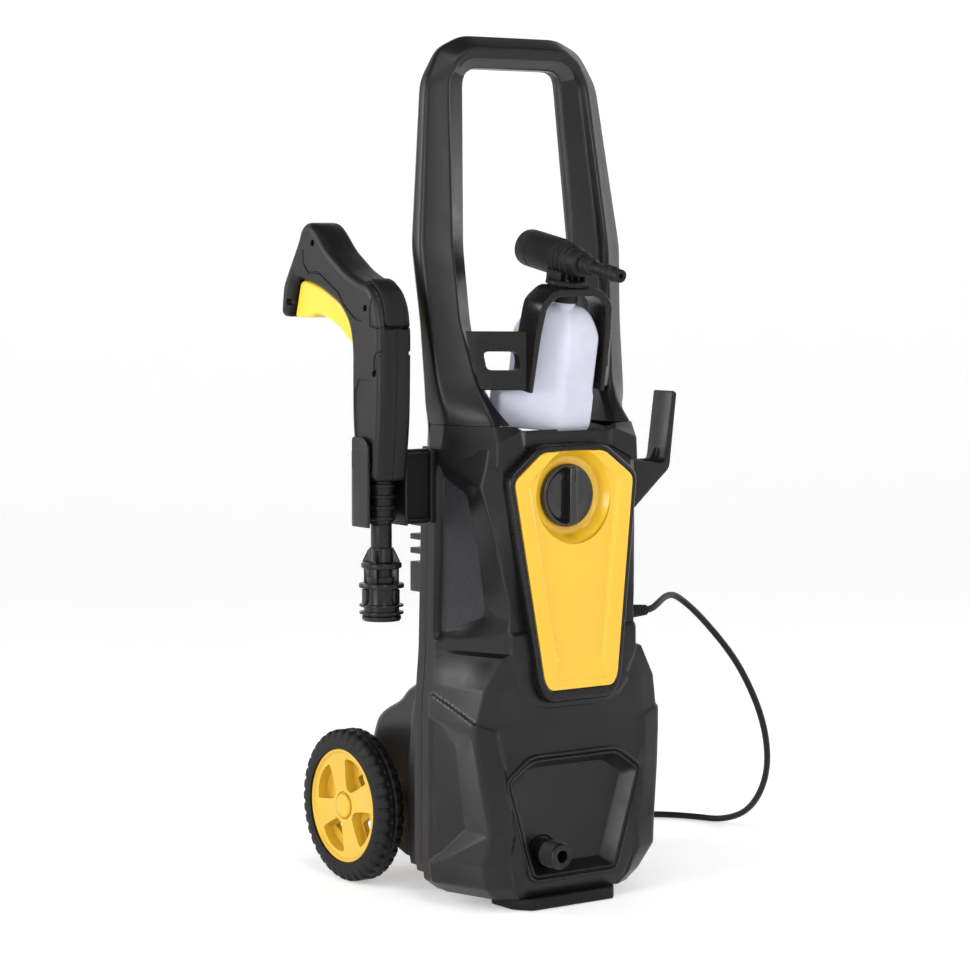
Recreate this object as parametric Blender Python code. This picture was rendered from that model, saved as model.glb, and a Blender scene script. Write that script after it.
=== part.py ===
"""Upright pressure washer on two wheels, with spray gun, foam bottle and mains cord.

Frame: metres, +Z up, -Y is the front, X = 0 is the middle plane. The origin is the
middle of the rest face of the front foot, on the floor.
"""
import math

import bmesh
import bpy
import numpy as np
from mathutils import Matrix, Vector

# Driving dimensions, in metres
GAP = 0.0004                # clearance between neighbouring pieces
WALL = 0.003                # wall of the moulded housings
SEAM_Y = 0.075              # plane where front and rear housings meet
BODY_LOW = 0.012            # underside of the housings
BODY_TOP = 0.450            # top deck of the housings
HANDLE_TOP = 0.850          # overall height

WHEEL_Y = 0.207             # wheel axis, behind the body
WHEEL_R = 0.0775            # tyre radius, also the height of the axle
WHEEL_IN = 0.094            # inner face of the tyre, from the middle plane
WHEEL_OUT = 0.123           # outer face of the tyre
RIM_R = 0.058               # tyre inner radius
AXLE_R = 0.005

PANEL_TOP = 0.447           # top edge of the front panel
PANEL_TOP_Y = -0.020        # its face there
PANEL_LEAN = 0.0606         # how much further forward the face is, per metre lower
KNOB_Z = 0.403              # switch axis above the floor
KNOB_R = 0.031

OUTLET_X = -0.030           # water outlet, in the low recess
OUTLET_Z = 0.055
PUMP_Y = 0.075              # motor and pump axis
INLET_X = 0.035             # water inlet, at the rear
INLET_Z = 0.055

GUN_X = -0.168              # middle plane of the spray gun
GUN_Y = 0.066               # its barrel axis
GUN_HALF = 0.0195           # half thickness of the gun shells
TUBE_R = 0.0102             # lance tube
TRIGGER_PIN = (0.102, 0.560)    # trigger pivot (y, z)
TRIGGER_HALF = 0.0110       # half width of the trigger
HOLDER_HALF = 0.0205        # half of the room between the walls of the gun's cradle

LEAN = math.radians(10.7)   # the bottle leans forward by this much
NECK_Y = -0.011             # where the bottle's axis crosses the nozzle's
NECK_Z = 0.6317
TRAY_Z = 0.4610             # floor of the bottle tray

CORD_R = 0.0035
COIL_AT = (0.200, 0.400)    # middle of the coiled cord on the floor
PLUG_AT = (0.1385, 0.4000, 0.0180)
COIL_MID_R = 0.042          # radius of the middle turn
COIL_HALF = 0.014           # half the width, and half the height, of the coil


# Building blocks

AXES = {"Z": Matrix.Identity(3),
        "X": Matrix(((0, 0, 1), (1, 0, 0), (0, 1, 0))),
        "Y": Matrix(((0, 1, 0), (0, 0, 1), (1, 0, 0)))}


def make_material(name, colour, roughness, metallic=0.0):
    """A Principled material; colour is linear RGB."""
    material = bpy.data.materials.new(name)
    material.use_nodes = True
    shader = material.node_tree.nodes["Principled BSDF"]
    shader.inputs["Base Color"].default_value = (*colour, 1.0)
    shader.inputs["Roughness"].default_value = roughness
    shader.inputs["Metallic"].default_value = metallic
    material.diffuse_color = (*colour, 1.0)
    return material


BLACK = (0.018, 0.017, 0.018)
DARK = (0.030, 0.028, 0.030)
YELLOW = (0.78, 0.46, 0.025)
STEEL = (0.55, 0.55, 0.56)
BRASS = (0.60, 0.43, 0.16)
MILKY = (0.72, 0.72, 0.82)


def finish(mesh_data, name, look, parent=None, smooth=True):
    """Make an object called name out of a bmesh; look is (colour, roughness, metallic)."""
    bmesh.ops.remove_doubles(mesh_data, verts=mesh_data.verts, dist=1e-6)
    bmesh.ops.recalc_face_normals(mesh_data, faces=mesh_data.faces)
    mesh = bpy.data.meshes.new(name)
    mesh_data.to_mesh(mesh)
    mesh_data.free()
    if smooth:
        mesh.shade_smooth()
        mesh.set_sharp_from_angle(angle=math.radians(35))
    obj = bpy.data.objects.new(name, mesh)
    bpy.context.scene.collection.objects.link(obj)
    if look:
        mesh.materials.append(make_material(name, *look))
    else:
        obj.hide_render = True
        obj.display_type = "WIRE"
    if parent:
        obj.parent = parent
        obj.matrix_parent_inverse = parent.matrix_world.inverted()
    return obj


def pivot(name, at, parent=None):
    """An empty on a joint's axis, at a place in the world."""
    empty = bpy.data.objects.new(name, None)
    empty.location = at
    if parent:
        empty.parent = parent
        empty.matrix_parent_inverse = parent.matrix_world.inverted()
    bpy.context.scene.collection.objects.link(empty)
    bpy.context.view_layer.update()
    return empty


def loft(name, rings, look, parent=None, smooth=False):
    """Skin equal rings of points, and cap the first and the last."""
    data = bmesh.new()
    rows = [[data.verts.new(p) for p in ring] for ring in rings]
    count = len(rings[0])
    for low, high in zip(rows, rows[1:]):
        for i in range(count):
            j = (i + 1) % count
            data.faces.new((low[i], low[j], high[j], high[i]))
    data.faces.new(rows[0])
    data.faces.new(rows[-1])
    return finish(data, name, look, parent, smooth)


def turned(name, profile, look, at=(0, 0, 0), axis="Z", sides=24, parent=None):
    """Turn a closed profile of (radius, height) points about an axis through at.

    A profile point at radius 0 closes the shape at its centre.
    """
    turn = AXES[axis] if isinstance(axis, str) else axis
    data = bmesh.new()
    rows = []
    for radius, height in profile:
        if radius == 0:
            rows.append([data.verts.new(Vector(at) + turn @ Vector((0, 0, height)))])
            continue
        row = []
        for i in range(sides):
            angle = 2 * math.pi * i / sides
            local = Vector((radius * math.cos(angle), radius * math.sin(angle), height))
            row.append(data.verts.new(Vector(at) + turn @ local))
        rows.append(row)
    closed = profile[0][0] > 0 or profile[-1][0] > 0
    pairs = list(zip(rows, rows[1:] + rows[:1])) if closed else list(zip(rows, rows[1:]))
    for low, high in pairs:
        for i in range(sides):
            j = (i + 1) % sides
            if len(low) == len(high) == 1:
                continue
            if len(low) == 1:
                data.faces.new((low[0], high[i], high[j]))
            elif len(high) == 1:
                data.faces.new((low[i], low[j], high[0]))
            else:
                data.faces.new((low[i], low[j], high[j], high[i]))
    return finish(data, name, look, parent)


def rod(name, radius, low, high, look, at=(0, 0, 0), axis="Z", sides=24, parent=None):
    """A plain solid rod between two heights along its axis."""
    profile = [(0, low), (radius, low), (radius, high), (0, high)]
    return turned(name, profile, look, at, axis, sides, parent)


def prism(name, outline, low, high, look, axis="Z", parent=None):
    """Push an outline along an axis: (x, y) along Z, (x, z) along Y, (y, z) along X."""
    place = {"Z": lambda a, b, c: (a, b, c),
             "Y": lambda a, b, c: (a, c, b),
             "X": lambda a, b, c: (c, a, b)}[axis]
    rings = [[place(a, b, c) for a, b in outline] for c in (low, high)]
    return loft(name, rings, look, parent)


def block(name, x, y, z, look, parent=None):
    """A box between pairs of limits."""
    outline = [(x[0], y[0]), (x[1], y[0]), (x[1], y[1]), (x[0], y[1])]
    return prism(name, outline, z[0], z[1], look, "Z", parent)


def boolean(obj, tool, operation):
    """Cut obj by tool, or join tool to it."""
    tool.hide_render = True
    tool.display_type = "WIRE"
    modifier = obj.modifiers.new(operation.title() + " " + tool.name, "BOOLEAN")
    modifier.operation = operation
    modifier.solver = "EXACT"
    modifier.object = tool
    return obj


def cut(obj, tool):
    return boolean(obj, tool, "DIFFERENCE")


def join(obj, tool):
    return boolean(obj, tool, "UNION")


def mirrored(points):
    """Close a half outline, given from the seam to the middle on +X, with its mirror image."""
    return [(-x, y) for x, y in points] + [(x, y) for x, y in reversed(points)]


def panel_y(z, behind=0.0):
    """Y of the leaning face of the front panel at height z."""
    return PANEL_TOP_Y - (PANEL_TOP - z) * PANEL_LEAN + behind


# Housings

FACE_BACK = 0.0118      # the housing's front face, behind the panel's

# z, rim x, side corner (x, y), front corner (x, y), middle of the front (x, y)
FRONT_LEVELS = [
    (0.012, 0.098, (0.090, 0.014), (0.060, -0.014), (0.040, -0.014)),
    (0.032, 0.1145, (0.121, 0.008), (0.088, -0.0205), (0.045, -0.0205)),
    (0.131, 0.1150, (0.126, 0.005), (0.0925, -0.0225), (0.045, -0.0225)),
    (0.172, 0.1150, (0.126, 0.004), (0.090, -0.0185), (0.045, -0.0185)),
    (0.190, 0.1150, (0.126, 0.004), (0.088, -0.0165), (0.046, -0.0165)),
    (0.203, 0.1140, (0.124, 0.006), (0.087, -0.0155), (0.046, panel_y(0.203, FACE_BACK))),
    (0.222, 0.1125, (0.112, 0.009), (0.084, -0.0150), (0.050, panel_y(0.222, FACE_BACK))),
    (0.250, 0.1100, (0.098, 0.010), (0.080, -0.0140), (0.056, panel_y(0.250, FACE_BACK))),
    (0.262, 0.1098, (0.096, 0.008), (0.076, -0.0160), (0.058, panel_y(0.262, FACE_BACK))),
    (0.425, 0.1060, (0.091, 0.004), (0.081, -0.0090), (0.079, panel_y(0.425, FACE_BACK))),
    (0.450, 0.1050, (0.089, 0.002), (0.080, -0.0075), (0.060, panel_y(0.450, FACE_BACK))),
]
RIM_FRONT_Y = 0.060


def housing_ring(level, inset=0.0, z=None, seam=SEAM_Y - GAP / 2):
    height, rim, side, corner, middle = level
    half = [(rim - inset, seam), (rim - inset, RIM_FRONT_Y),
            (side[0] - inset, side[1] + inset), (corner[0] - inset, corner[1] + inset),
            (middle[0], middle[1] + inset)]
    return [(x, y, height if z is None else z) for x, y in mirrored(half)]


def front_housing():
    body = loft("front_housing", [housing_ring(v) for v in FRONT_LEVELS],
                (BLACK, 0.42))
    inner = FRONT_LEVELS[1:-1]
    rings = [housing_ring(FRONT_LEVELS[0], WALL, BODY_LOW + WALL, SEAM_Y + 0.02)]
    rings += [housing_ring(v, WALL, None, SEAM_Y + 0.02) for v in inner]
    rings += [housing_ring(FRONT_LEVELS[-1], WALL, BODY_TOP - WALL, SEAM_Y + 0.02)]
    cut(body, loft("front_hollow", rings, None))
    recess = [(x * 1.008, z) for x, z in outlet_outline(0.0006)]
    cut(body, prism("outlet_window", recess, -0.05, 0.004, None, "Y"))
    cut(body, rod("switch_window", 0.0455, -0.03, 0.004, None, (0, 0, KNOB_Z), "Y", 32))
    cut(body, rod("gland_hole", 0.0062, 0.085, 0.125, None, (0, GLAND[1], GLAND[2]), "X", 16))
    return body


# z, rim x, arch corner (x, y), tail corner x, tail y
REAR_LEVELS = [
    (0.030, 0.1120, (0.098, 0.122), 0.078, 0.170),
    (0.045, 0.1150, (0.100, 0.124), 0.080, 0.212),
    (0.080, 0.1150, (0.100, 0.124), 0.080, 0.232),
    (0.130, 0.1150, (0.100, 0.124), 0.080, 0.230),
    (0.172, 0.1150, (0.098, 0.118), 0.079, 0.200),
    (0.205, 0.1138, (0.090, 0.104), 0.074, 0.162),
    (0.250, 0.1100, (0.086, 0.098), 0.070, 0.150),
    (0.380, 0.1070, (0.086, 0.098), 0.066, 0.150),
    (0.430, 0.1056, (0.084, 0.096), 0.060, 0.136),
    (0.450, 0.1050, (0.082, 0.094), 0.055, 0.118),
]
RIM_BACK_Y = 0.088


def rear_ring(level, inset=0.0, z=None, seam=SEAM_Y + GAP / 2):
    height, rim, arch, tail_x, tail_y = level
    half = [(rim - inset, seam), (rim - inset, RIM_BACK_Y - inset * 0.5),
            (arch[0] - inset, RIM_BACK_Y + 0.004 - inset * 0.5),
            (arch[0] - inset, arch[1] - inset),
            (tail_x - inset, arch[1] + 0.001 - inset), (tail_x - inset, tail_y - 0.012 - inset),
            (tail_x - 0.010 - inset, tail_y - inset)]
    return [(x, y, height if z is None else z) for x, y in mirrored(half)]


def rear_housing():
    body = loft("rear_housing", [rear_ring(v) for v in REAR_LEVELS], (BLACK, 0.45))
    rings = [rear_ring(REAR_LEVELS[0], WALL, REAR_LEVELS[0][0] + WALL, SEAM_Y - 0.02)]
    rings += [rear_ring(v, WALL, None, SEAM_Y - 0.02) for v in REAR_LEVELS[1:-1]]
    rings += [rear_ring(REAR_LEVELS[-1], WALL, BODY_TOP - WALL, SEAM_Y - 0.02)]
    cut(body, loft("rear_hollow", rings, None))
    cut(body, rod("axle_hole", AXLE_R + GAP, -0.09, 0.09, None, (0, WHEEL_Y, WHEEL_R), "X", 20))
    cut(body, rod("inlet_hole", 0.0120, 0.19, 0.25, None, (INLET_X, 0, INLET_Z), "Y", 20))
    vent_count = 5
    for i in range(vent_count):
        z = 0.300 + 0.016 * i
        cut(body, block("vent_%d" % i, (-0.035, 0.035), (0.135, 0.165), (z, z + 0.006), None))
    return body


def top_collar():
    low = [(0.1046, SEAM_Y - GAP / 2), (0.1046, 0.058), (0.0865, -0.0110), (0.0545, -0.0110),
           (0.0500, -0.0075)]
    high = [(0.1070, SEAM_Y - GAP / 2), (0.1050, 0.052), (0.0840, -0.0080), (0.0590, -0.0080),
            (0.0510, -0.0075)]
    z_low, z_high = BODY_TOP + GAP, 0.4720
    body = loft("top_collar", [[(x, y, z_low) for x, y in mirrored(low)],
                               [(x, y, z_high) for x, y in mirrored(high)]], (BLACK, 0.38))
    cut(body, block("tray_pocket", (-0.0595, 0.0595), (-0.0050, 0.09), (TRAY_Z, 0.49), None))
    lip = block("lip_lower", (-0.048, 0.048), (-0.02, 0.0), (0.4665, 0.49), None)
    return cut(body, lip)


# Handle

# z, split y, outer front (x, y), inner front (x, y), step (x, y), flange x and y
ARM_STATIONS = [
    (0.4724, 0.0746, (0.1050, 0.0500), (0.0835, -0.0030), (0.0640, -0.0030), (0.0620, 0.008)),
    (0.4900, 0.0700, (0.1115, 0.0430), (0.0810, 0.0120), (0.0715, 0.0130), (0.0670, 0.020)),
    (0.5120, 0.0670, (0.1148, 0.0470), (0.0830, 0.0260), (0.0780, 0.0310), (0.0700, 0.036)),
    (0.5720, 0.0690, (0.1185, 0.0570), (0.0915, 0.0400), (0.0880, 0.0500), (0.0700, 0.055)),
    (0.6450, 0.0765, (0.1230, 0.0640), (0.0940, 0.0480), (0.0920, 0.0610), (0.0680, 0.069)),
    (0.8050, 0.0890, (0.1045, 0.0805), (0.0840, 0.0690), (0.0800, 0.0790), (0.0595, 0.082)),
]
# the shoulder and the end of the top bar: (x, z, y) outer, front edge, step, inner edge
BAR_CORNERS = [
    ((0.0860, 0.8370, 0.0850), (0.0740, 0.8260, 0.0685), (0.0660, 0.8200, 0.0760), (0.0570, 0.8130, 0.0810)),
    ((0.0580, 0.8500, 0.0860), (0.0580, 0.8380, 0.0680), (0.0540, 0.8260, 0.0740), (0.0490, 0.8180, 0.0800)),
]
BAR_SPLIT_Y = 0.0890
HANDLE_DEPTH = 0.0085       # rear half of the handle, behind the split


def handle_sections():
    """Six-point sections of the front cover, from the left foot over the top to the right."""
    arms = []
    for z, split, outer, inner, step, flange in ARM_STATIONS:
        arms.append([(outer[0] + 0.0005, split, z), (outer[0], outer[1], z),
                     (inner[0], inner[1], z), (step[0], step[1], z),
                     (flange[0], flange[1], z), (flange[0], split, z)])
    corners = []
    for outer, front, step, inner in BAR_CORNERS:
        section = [(outer[0], BAR_SPLIT_Y, outer[1])]
        section += [(x, y, z) for x, z, y in (outer, front, step, inner)]
        corners.append(section + [(inner[0], BAR_SPLIT_Y, inner[1])])
    right = arms + corners
    left = [[(-x, y, z) for x, y, z in section] for section in right]
    return left + right[::-1]


def handle_front_cover():
    return loft("handle_front_cover", handle_sections(), (BLACK, 0.36))


def handle_rear_frame():
    """The rear half of the handle: what lies behind the split, down to the top deck."""
    rings = []
    for section in handle_sections():
        front_out, front_in = section[0], section[5]
        side = 1 if front_out[0] > 0 else -1
        rings.append([(front_out[0], front_out[1] + GAP, front_out[2]),
                      (front_in[0], front_in[1] + GAP, front_in[2]),
                      (front_in[0] + side * 0.002, front_out[1] + HANDLE_DEPTH, front_in[2]),
                      (front_out[0] - side * 0.004, front_out[1] + HANDLE_DEPTH, front_out[2])])
    for end, index in ((-1, 0), (1, len(rings) + 1)):
        foot = [(end * 0.1045, SEAM_Y + GAP, BODY_TOP + GAP), (end * 0.0660, SEAM_Y + GAP, BODY_TOP + GAP),
                (end * 0.0680, 0.0860, BODY_TOP + GAP), (end * 0.1000, 0.0870, BODY_TOP + GAP)]
        rings.insert(index, foot)
    return loft("handle_rear_frame", rings, (BLACK, 0.40))


# x and height of the screws that hold the two halves of the handle together
HANDLE_SCREWS = [(-0.1040, 0.560), (0.1040, 0.560), (-0.1010, 0.720), (0.1010, 0.720)]


def split_y(z):
    """Y of the plane between the handle's halves at height z."""
    lower = [v for v in ARM_STATIONS if v[0] <= z][-1]
    upper = [v for v in ARM_STATIONS if v[0] > z][0]
    return lower[1] + (upper[1] - lower[1]) * (z - lower[0]) / (upper[0] - lower[0])


def handle_screws(front, rear):
    """Each screw passes through the rear half and ends in the front half."""
    shank, head, grip = 0.0020, 0.0038, 0.0060
    for i, (x, z) in enumerate(HANDLE_SCREWS):
        split = split_y(z)
        seat = split + HANDLE_DEPTH - 0.0030
        name = "handle_screw_%d" % (i + 1)
        turned(name, [(0, split - grip), (shank, split - grip), (shank, seat + GAP), (head, seat + GAP),
                      (head, seat + 0.0025), (0, seat + 0.0025)],
               (STEEL, 0.3, 1.0), (x, 0, z), "Y", 12)
        cut(front, rod(name + "_hole", shank + GAP, split - grip - GAP, split + 0.02, None,
                       (x, 0, z), "Y", 12))
        way = [(0, split - 0.012), (shank + GAP, split - 0.012), (shank + GAP, seat), (head + GAP, seat),
               (head + GAP, split + 0.030), (0, split + 0.030)]
        cut(rear, turned(name + "_way", way, None, (x, 0, z), "Y", 12))


# Accessory holder

HOOD_FRONT, HOOD_BACK = -0.0215, 0.0085     # in the leaning frame of the bottle
HOOD_HALF = [((0.0460, -0.1265), (0.0412, -0.1265)), ((0.0460, -0.0700), (0.0390, -0.0700)),
             ((0.0430, -0.0385), (0.0360, -0.0430)), ((0.0270, -0.0247), (0.0240, -0.0320))]


def leaning(points):
    """Points of the bottle's frame, which leans forward over the neck, as world points."""
    turn = Matrix.Rotation(LEAN, 3, "X")
    return [tuple(Vector((0, NECK_Y, NECK_Z)) + turn @ Vector(p)) for p in points]


def leaning_block(name, x, y, z):
    corners = [(x[0], y[0]), (x[1], y[0]), (x[1], y[1]), (x[0], y[1])]
    return loft(name, [leaning([(a, b, height) for a, b in corners]) for height in z], None)


def accessory_holder():
    """A leaning hood over the bottle, with a slotted wing out to each arm of the handle."""
    stations = []
    for side, order in ((-1, HOOD_HALF), (1, HOOD_HALF[::-1])):
        for outer, inner in order:
            ring = [(side * outer[0], HOOD_FRONT, outer[1]), (side * inner[0], HOOD_FRONT, inner[1]),
                    (side * inner[0], HOOD_BACK, inner[1]), (side * outer[0], HOOD_BACK, outer[1])]
            stations.append(leaning(ring))
    body = loft("accessory_holder", stations, (BLACK, 0.40))
    for side, name in ((-1, "left"), (1, "right")):
        low = [(0.0436, -0.004), (0.0742, 0.0236), (0.0712, 0.0280), (0.0436, 0.004)]
        high = [(0.0436, -0.004), (0.0858, 0.0325), (0.0830, 0.0368), (0.0436, 0.004)]
        rings = [[(side * x, y, z) for x, y in ring] for z, ring in ((0.5060, low), (0.5630, high))]
        join(body, loft("wing_" + name, rings, None))
    cut(body, leaning_block("neck_slot", (-0.0135, 0.0135), (-0.0135, 0.0200), (-0.0400, -0.0200)))
    for side, name in ((-1, "left"), (1, "right")):
        slot = block("wing_slot_" + name, sorted((side * 0.0530, side * 0.0710)), (-0.01, 0.05),
                     (0.5250, 0.5440), None)
        cut(body, slot)
    return body


# Front panel group

BEZEL_HALF = [(0.0400, 0.2035), (0.0500, 0.2200), (0.0800, 0.4240), (0.0400, 0.4545)]
PANEL_HALF = [(0.0385, 0.2160), (0.0450, 0.2260), (0.0730, 0.4200), (0.0375, 0.4470)]


def slanted(half, behind, grow=0.0):
    """Ring of (x, y, z) on the leaning plane, from the right half of an outline."""
    points = [(x + grow, z) for x, z in half]
    points[0] = (points[0][0], points[0][1] - grow)
    points[-1] = (points[-1][0], points[-1][1] + grow)
    ring = points + [(-x, z) for x, z in reversed(points)]
    return [(x, panel_y(z, behind), z) for x, z in ring]


def panel_bezel():
    rings = [slanted(PANEL_HALF, 0.0045, GAP), slanted(PANEL_HALF, 0.0025, GAP),
             slanted(BEZEL_HALF, 0.0035), slanted(BEZEL_HALF, FACE_BACK - GAP)]
    body = loft("panel_bezel", rings, (BLACK, 0.35))
    return cut(body, rod("bezel_window", 0.0450, -0.05, 0.02, None, (0, 0, KNOB_Z), "Y", 32))


def front_panel():
    rings = [slanted(PANEL_HALF, 0.0041), slanted(PANEL_HALF, 0.0008),
             slanted([(x * 0.93, KNOB_Z + (z - KNOB_Z) * 0.97) for x, z in PANEL_HALF], 0.0)]
    body = loft("front_panel", rings, (YELLOW, 0.22))
    join(body, rod("panel_cup", 0.0440, -0.0190, -0.0012, None, (0, 0, KNOB_Z), "Y", 32))
    dish = [(0, -0.0300), (0.0415, -0.0300), (0.0360, -0.0050), (0, -0.0050)]
    cut(body, turned("panel_dish", dish, None, (0, 0, KNOB_Z), "Y", 32))
    return cut(body, rod("stem_hole", 0.0045, -0.01, 0.01, None, (0, 0, KNOB_Z), "Y", 16))


def switch_knob(parent):
    disc = [(0, -0.0100), (KNOB_R - 0.001, -0.0100), (KNOB_R, -0.0090), (KNOB_R, -0.0055),
            (0.0038, -0.0055), (0.0038, 0.0005), (0, 0.0005)]
    body = turned("switch_knob", disc, (BLACK, 0.25), (0, 0, KNOB_Z), "Y", 32, parent)
    bar = block("knob_bar", (-0.0045, 0.0045), (-0.0210, -0.0080),
                (KNOB_Z - 0.0280, KNOB_Z + 0.0280), None, parent)
    return join(body, bar)


def outlet_outline(grow=0.0):
    half = [(0.053, 0.028), (0.085, 0.131), (0.053, 0.153)]
    points = [(x + grow, z) for x, z in half]
    points[0] = (points[0][0], points[0][1] - grow)
    points[-1] = (points[-1][0], points[-1][1] + grow)
    return points + [(-x, z) for x, z in reversed(points)]


def outlet_panel():
    """A hexagonal tray sunk in the front, with the outlet through its floor."""
    centre = 0.092

    def ring(scale, y):
        return [(x * scale, y, centre + (z - centre) * scale) for x, z in outlet_outline()]

    rings = [ring(0.80, -0.0110), ring(0.93, -0.0215), ring(1.0, -0.0215), ring(1.0, -0.0190),
             ring(0.95, -0.0190), ring(0.83, -0.0085)]
    body = loft("outlet_panel", rings, (BLACK, 0.45))
    hole = rod("outlet_hole", 0.0165, -0.03, 0.01, None, (OUTLET_X, 0, OUTLET_Z), "Y", 24)
    return cut(body, hole)


def outlet_fitting():
    bore = 0.0060
    profile = [(bore, -0.0420), (0.0130, -0.0420), (0.0135, -0.0410), (0.0135, -0.0210),
               (0.0115, -0.0200), (0.0115, 0.0296), (0, 0.0296), (0, 0.0), (bore, 0.0)]
    return turned("outlet_fitting", profile, (DARK, 0.40), (OUTLET_X, 0, OUTLET_Z), "Y", 24)


def inlet_fitting():
    bore = 0.0060
    profile = [(bore, 0.2560), (0.0105, 0.2560), (0.0105, 0.2375), (0.0150, 0.2375),
               (0.0150, 0.2366), (0.0112, 0.2366), (0.0112, 0.2000), (bore, 0.2000)]
    return turned("inlet_fitting", profile, (BRASS, 0.35, 1.0), (INLET_X, 0, INLET_Z), "Y", 24)


# Pump and motor

def drive_train(rotor):
    block("pump_head", (-0.050, 0.050), (0.030, 0.120), (0.036, 0.0746), (STEEL, 0.40, 1.0))
    body = turned("pump_body", [(0.0450, 0.0750), (0.0450, 0.1400), (0.0400, 0.1400),
                                (0.0400, 0.1000), (0, 0.1000), (0, 0.0750)],
                  (STEEL, 0.45, 1.0), (0, PUMP_Y, 0))
    piston_r, ring_r = 0.0070, 0.0240
    for i in range(3):
        angle = math.radians(90 + 120 * i)
        at = (ring_r * math.cos(angle), PUMP_Y + ring_r * math.sin(angle), 0)
        cut(body, rod("bore_%d" % (i + 1), piston_r + GAP, 0.083, 0.11, None, at, "Z", 16))
        seat = pivot("piston_%d_axis" % (i + 1), (at[0], at[1], 0.1000))
        rod("piston_%d" % (i + 1), piston_r, 0.0920, 0.1180, (STEEL, 0.2, 1.0), at, "Z", 16, seat)
    turned("motor_housing", [(0.0450, 0.1404), (0.0450, 0.2900), (0.0100, 0.2900), (0.0100, 0.2840),
                             (0.0390, 0.2840), (0.0390, 0.1404)],
           (DARK, 0.5), (0, PUMP_Y, 0), "Z", 32)
    turned("motor_rotor", [(0, 0.1300), (0.0060, 0.1300), (0.0060, 0.1600), (0.0280, 0.1600),
                           (0.0280, 0.2500), (0.0180, 0.2500), (0.0180, 0.2700), (0.0050, 0.2700),
                           (0.0050, 0.3150), (0, 0.3150)],
           (STEEL, 0.35, 1.0), (0, PUMP_Y, 0), "Z", 24, rotor)
    wobble_plate(rotor)
    motor_fan(rotor)
    block("pressure_switch", (0.0504, 0.0680), (0.050, 0.090), (0.040, 0.070), (DARK, 0.5))
    rod_profile = [(0.0080, 0.1204), (0.0080, 0.1996), (0.0055, 0.1996), (0.0055, 0.1204)]
    turned("suction_pipe", rod_profile, (BLACK, 0.6), (INLET_X, 0, INLET_Z), "Y", 16)
    block("rotary_switch", (-0.017, 0.017), (0.0012, 0.030), (0.387, 0.419), (DARK, 0.5))


def wobble_plate(rotor):
    """A disc whose lower face leans, so that it pushes the pistons in turn."""
    sides, radius, lean = 24, 0.034, 0.0035
    top, base = 0.1290, 0.1225
    rings = []
    for height, amount in ((base, lean), (top, 0.0)):
        ring = []
        for i in range(sides):
            angle = 2 * math.pi * i / sides
            z = height + amount * math.sin(angle)
            ring.append((radius * math.cos(angle), PUMP_Y + radius * math.sin(angle), z))
        rings.append(ring)
    loft("wobble_plate", rings, (STEEL, 0.3, 1.0), rotor, True)


def motor_fan(rotor):
    """A hub with flat radial blades, one outline round a bore."""
    blades, hub, tip, bore = 8, 0.014, 0.038, 0.0054
    outer, inner = [], []
    for i in range(blades):
        middle = 2 * math.pi * i / blades
        for radius, offset in ((hub, -0.13), (tip, -0.04), (tip, 0.04), (hub, 0.13)):
            angle = middle + offset
            outer.append((radius * math.cos(angle), radius * math.sin(angle)))
            inner.append((bore * math.cos(angle), bore * math.sin(angle)))
    rings = []
    for outline, z in ((outer, 0.2960), (outer, 0.3080), (inner, 0.3080), (inner, 0.2960)):
        rings.append([(x, PUMP_Y + y, z) for x, y in outline])
    data = bmesh.new()
    rows = [[data.verts.new(p) for p in ring] for ring in rings]
    count = len(outer)
    for low, high in zip(rows, rows[1:] + rows[:1]):
        for i in range(count):
            j = (i + 1) % count
            data.faces.new((low[i], low[j], high[j], high[i]))
    finish(data, "motor_fan", (DARK, 0.5), rotor, False)


# Wheels

def wheel(side, name):
    """Tyre, rim and hub cap of one wheel; side is -1 on the left."""
    hub = pivot(name + "_wheel_axis", (side * WHEEL_IN, WHEEL_Y, WHEEL_R))
    at = (0, WHEEL_Y, WHEEL_R)
    shoulder = 0.004
    tread = [(RIM_R + GAP, WHEEL_IN), (WHEEL_R - shoulder, WHEEL_IN),
             (WHEEL_R, WHEEL_IN + shoulder), (WHEEL_R, WHEEL_OUT - shoulder),
             (WHEEL_R - shoulder, WHEEL_OUT), (RIM_R + GAP, WHEEL_OUT)]
    turned(name + "_tyre", [(r, side * x) for r, x in tread], (DARK, 0.75), at, "X", 40, hub)
    face, web, back = WHEEL_OUT - 0.0020, WHEEL_OUT - 0.0100, WHEEL_IN + 0.0020
    boss_end = WHEEL_OUT - 0.0050
    bore, boss = AXLE_R + GAP, 0.0150
    profile = [(bore, back), (boss, back), (boss, web - 0.004), (RIM_R - 0.004, web - 0.004),
               (RIM_R - 0.004, back), (RIM_R, back), (RIM_R, face), (RIM_R - 0.004, face),
               (RIM_R - 0.010, web + 0.002), (boss, web + 0.003), (boss, boss_end), (bore, boss_end)]
    rim = turned(name + "_rim", [(r, side * x) for r, x in profile], (YELLOW, 0.30), at, "X", 36, hub)
    windows = 4
    for i in range(windows):
        middle = math.radians(28 + 90 * i)
        outline = []
        for radius, spread in ((0.0200, 0.30), (0.0440, 0.46), (0.0440, -0.46), (0.0200, -0.30)):
            angle = middle + spread
            outline.append((WHEEL_Y + radius * math.cos(angle), WHEEL_R + radius * math.sin(angle)))
        low, high = sorted((side * (WHEEL_IN + 0.005), side * (WHEEL_OUT + 0.005)))
        cut(rim, prism("%s_window_%d" % (name, i), outline, low, high, None, "X", hub))
    seat = boss_end + GAP
    cap = [(0, seat), (0.0125, seat), (0.0125, face), (0.0090, WHEEL_OUT), (0, WHEEL_OUT)]
    turned(name + "_hub_cap", [(r, side * x) for r, x in cap], (YELLOW, 0.30), at, "X", 24, hub)


# Side fittings

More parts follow.
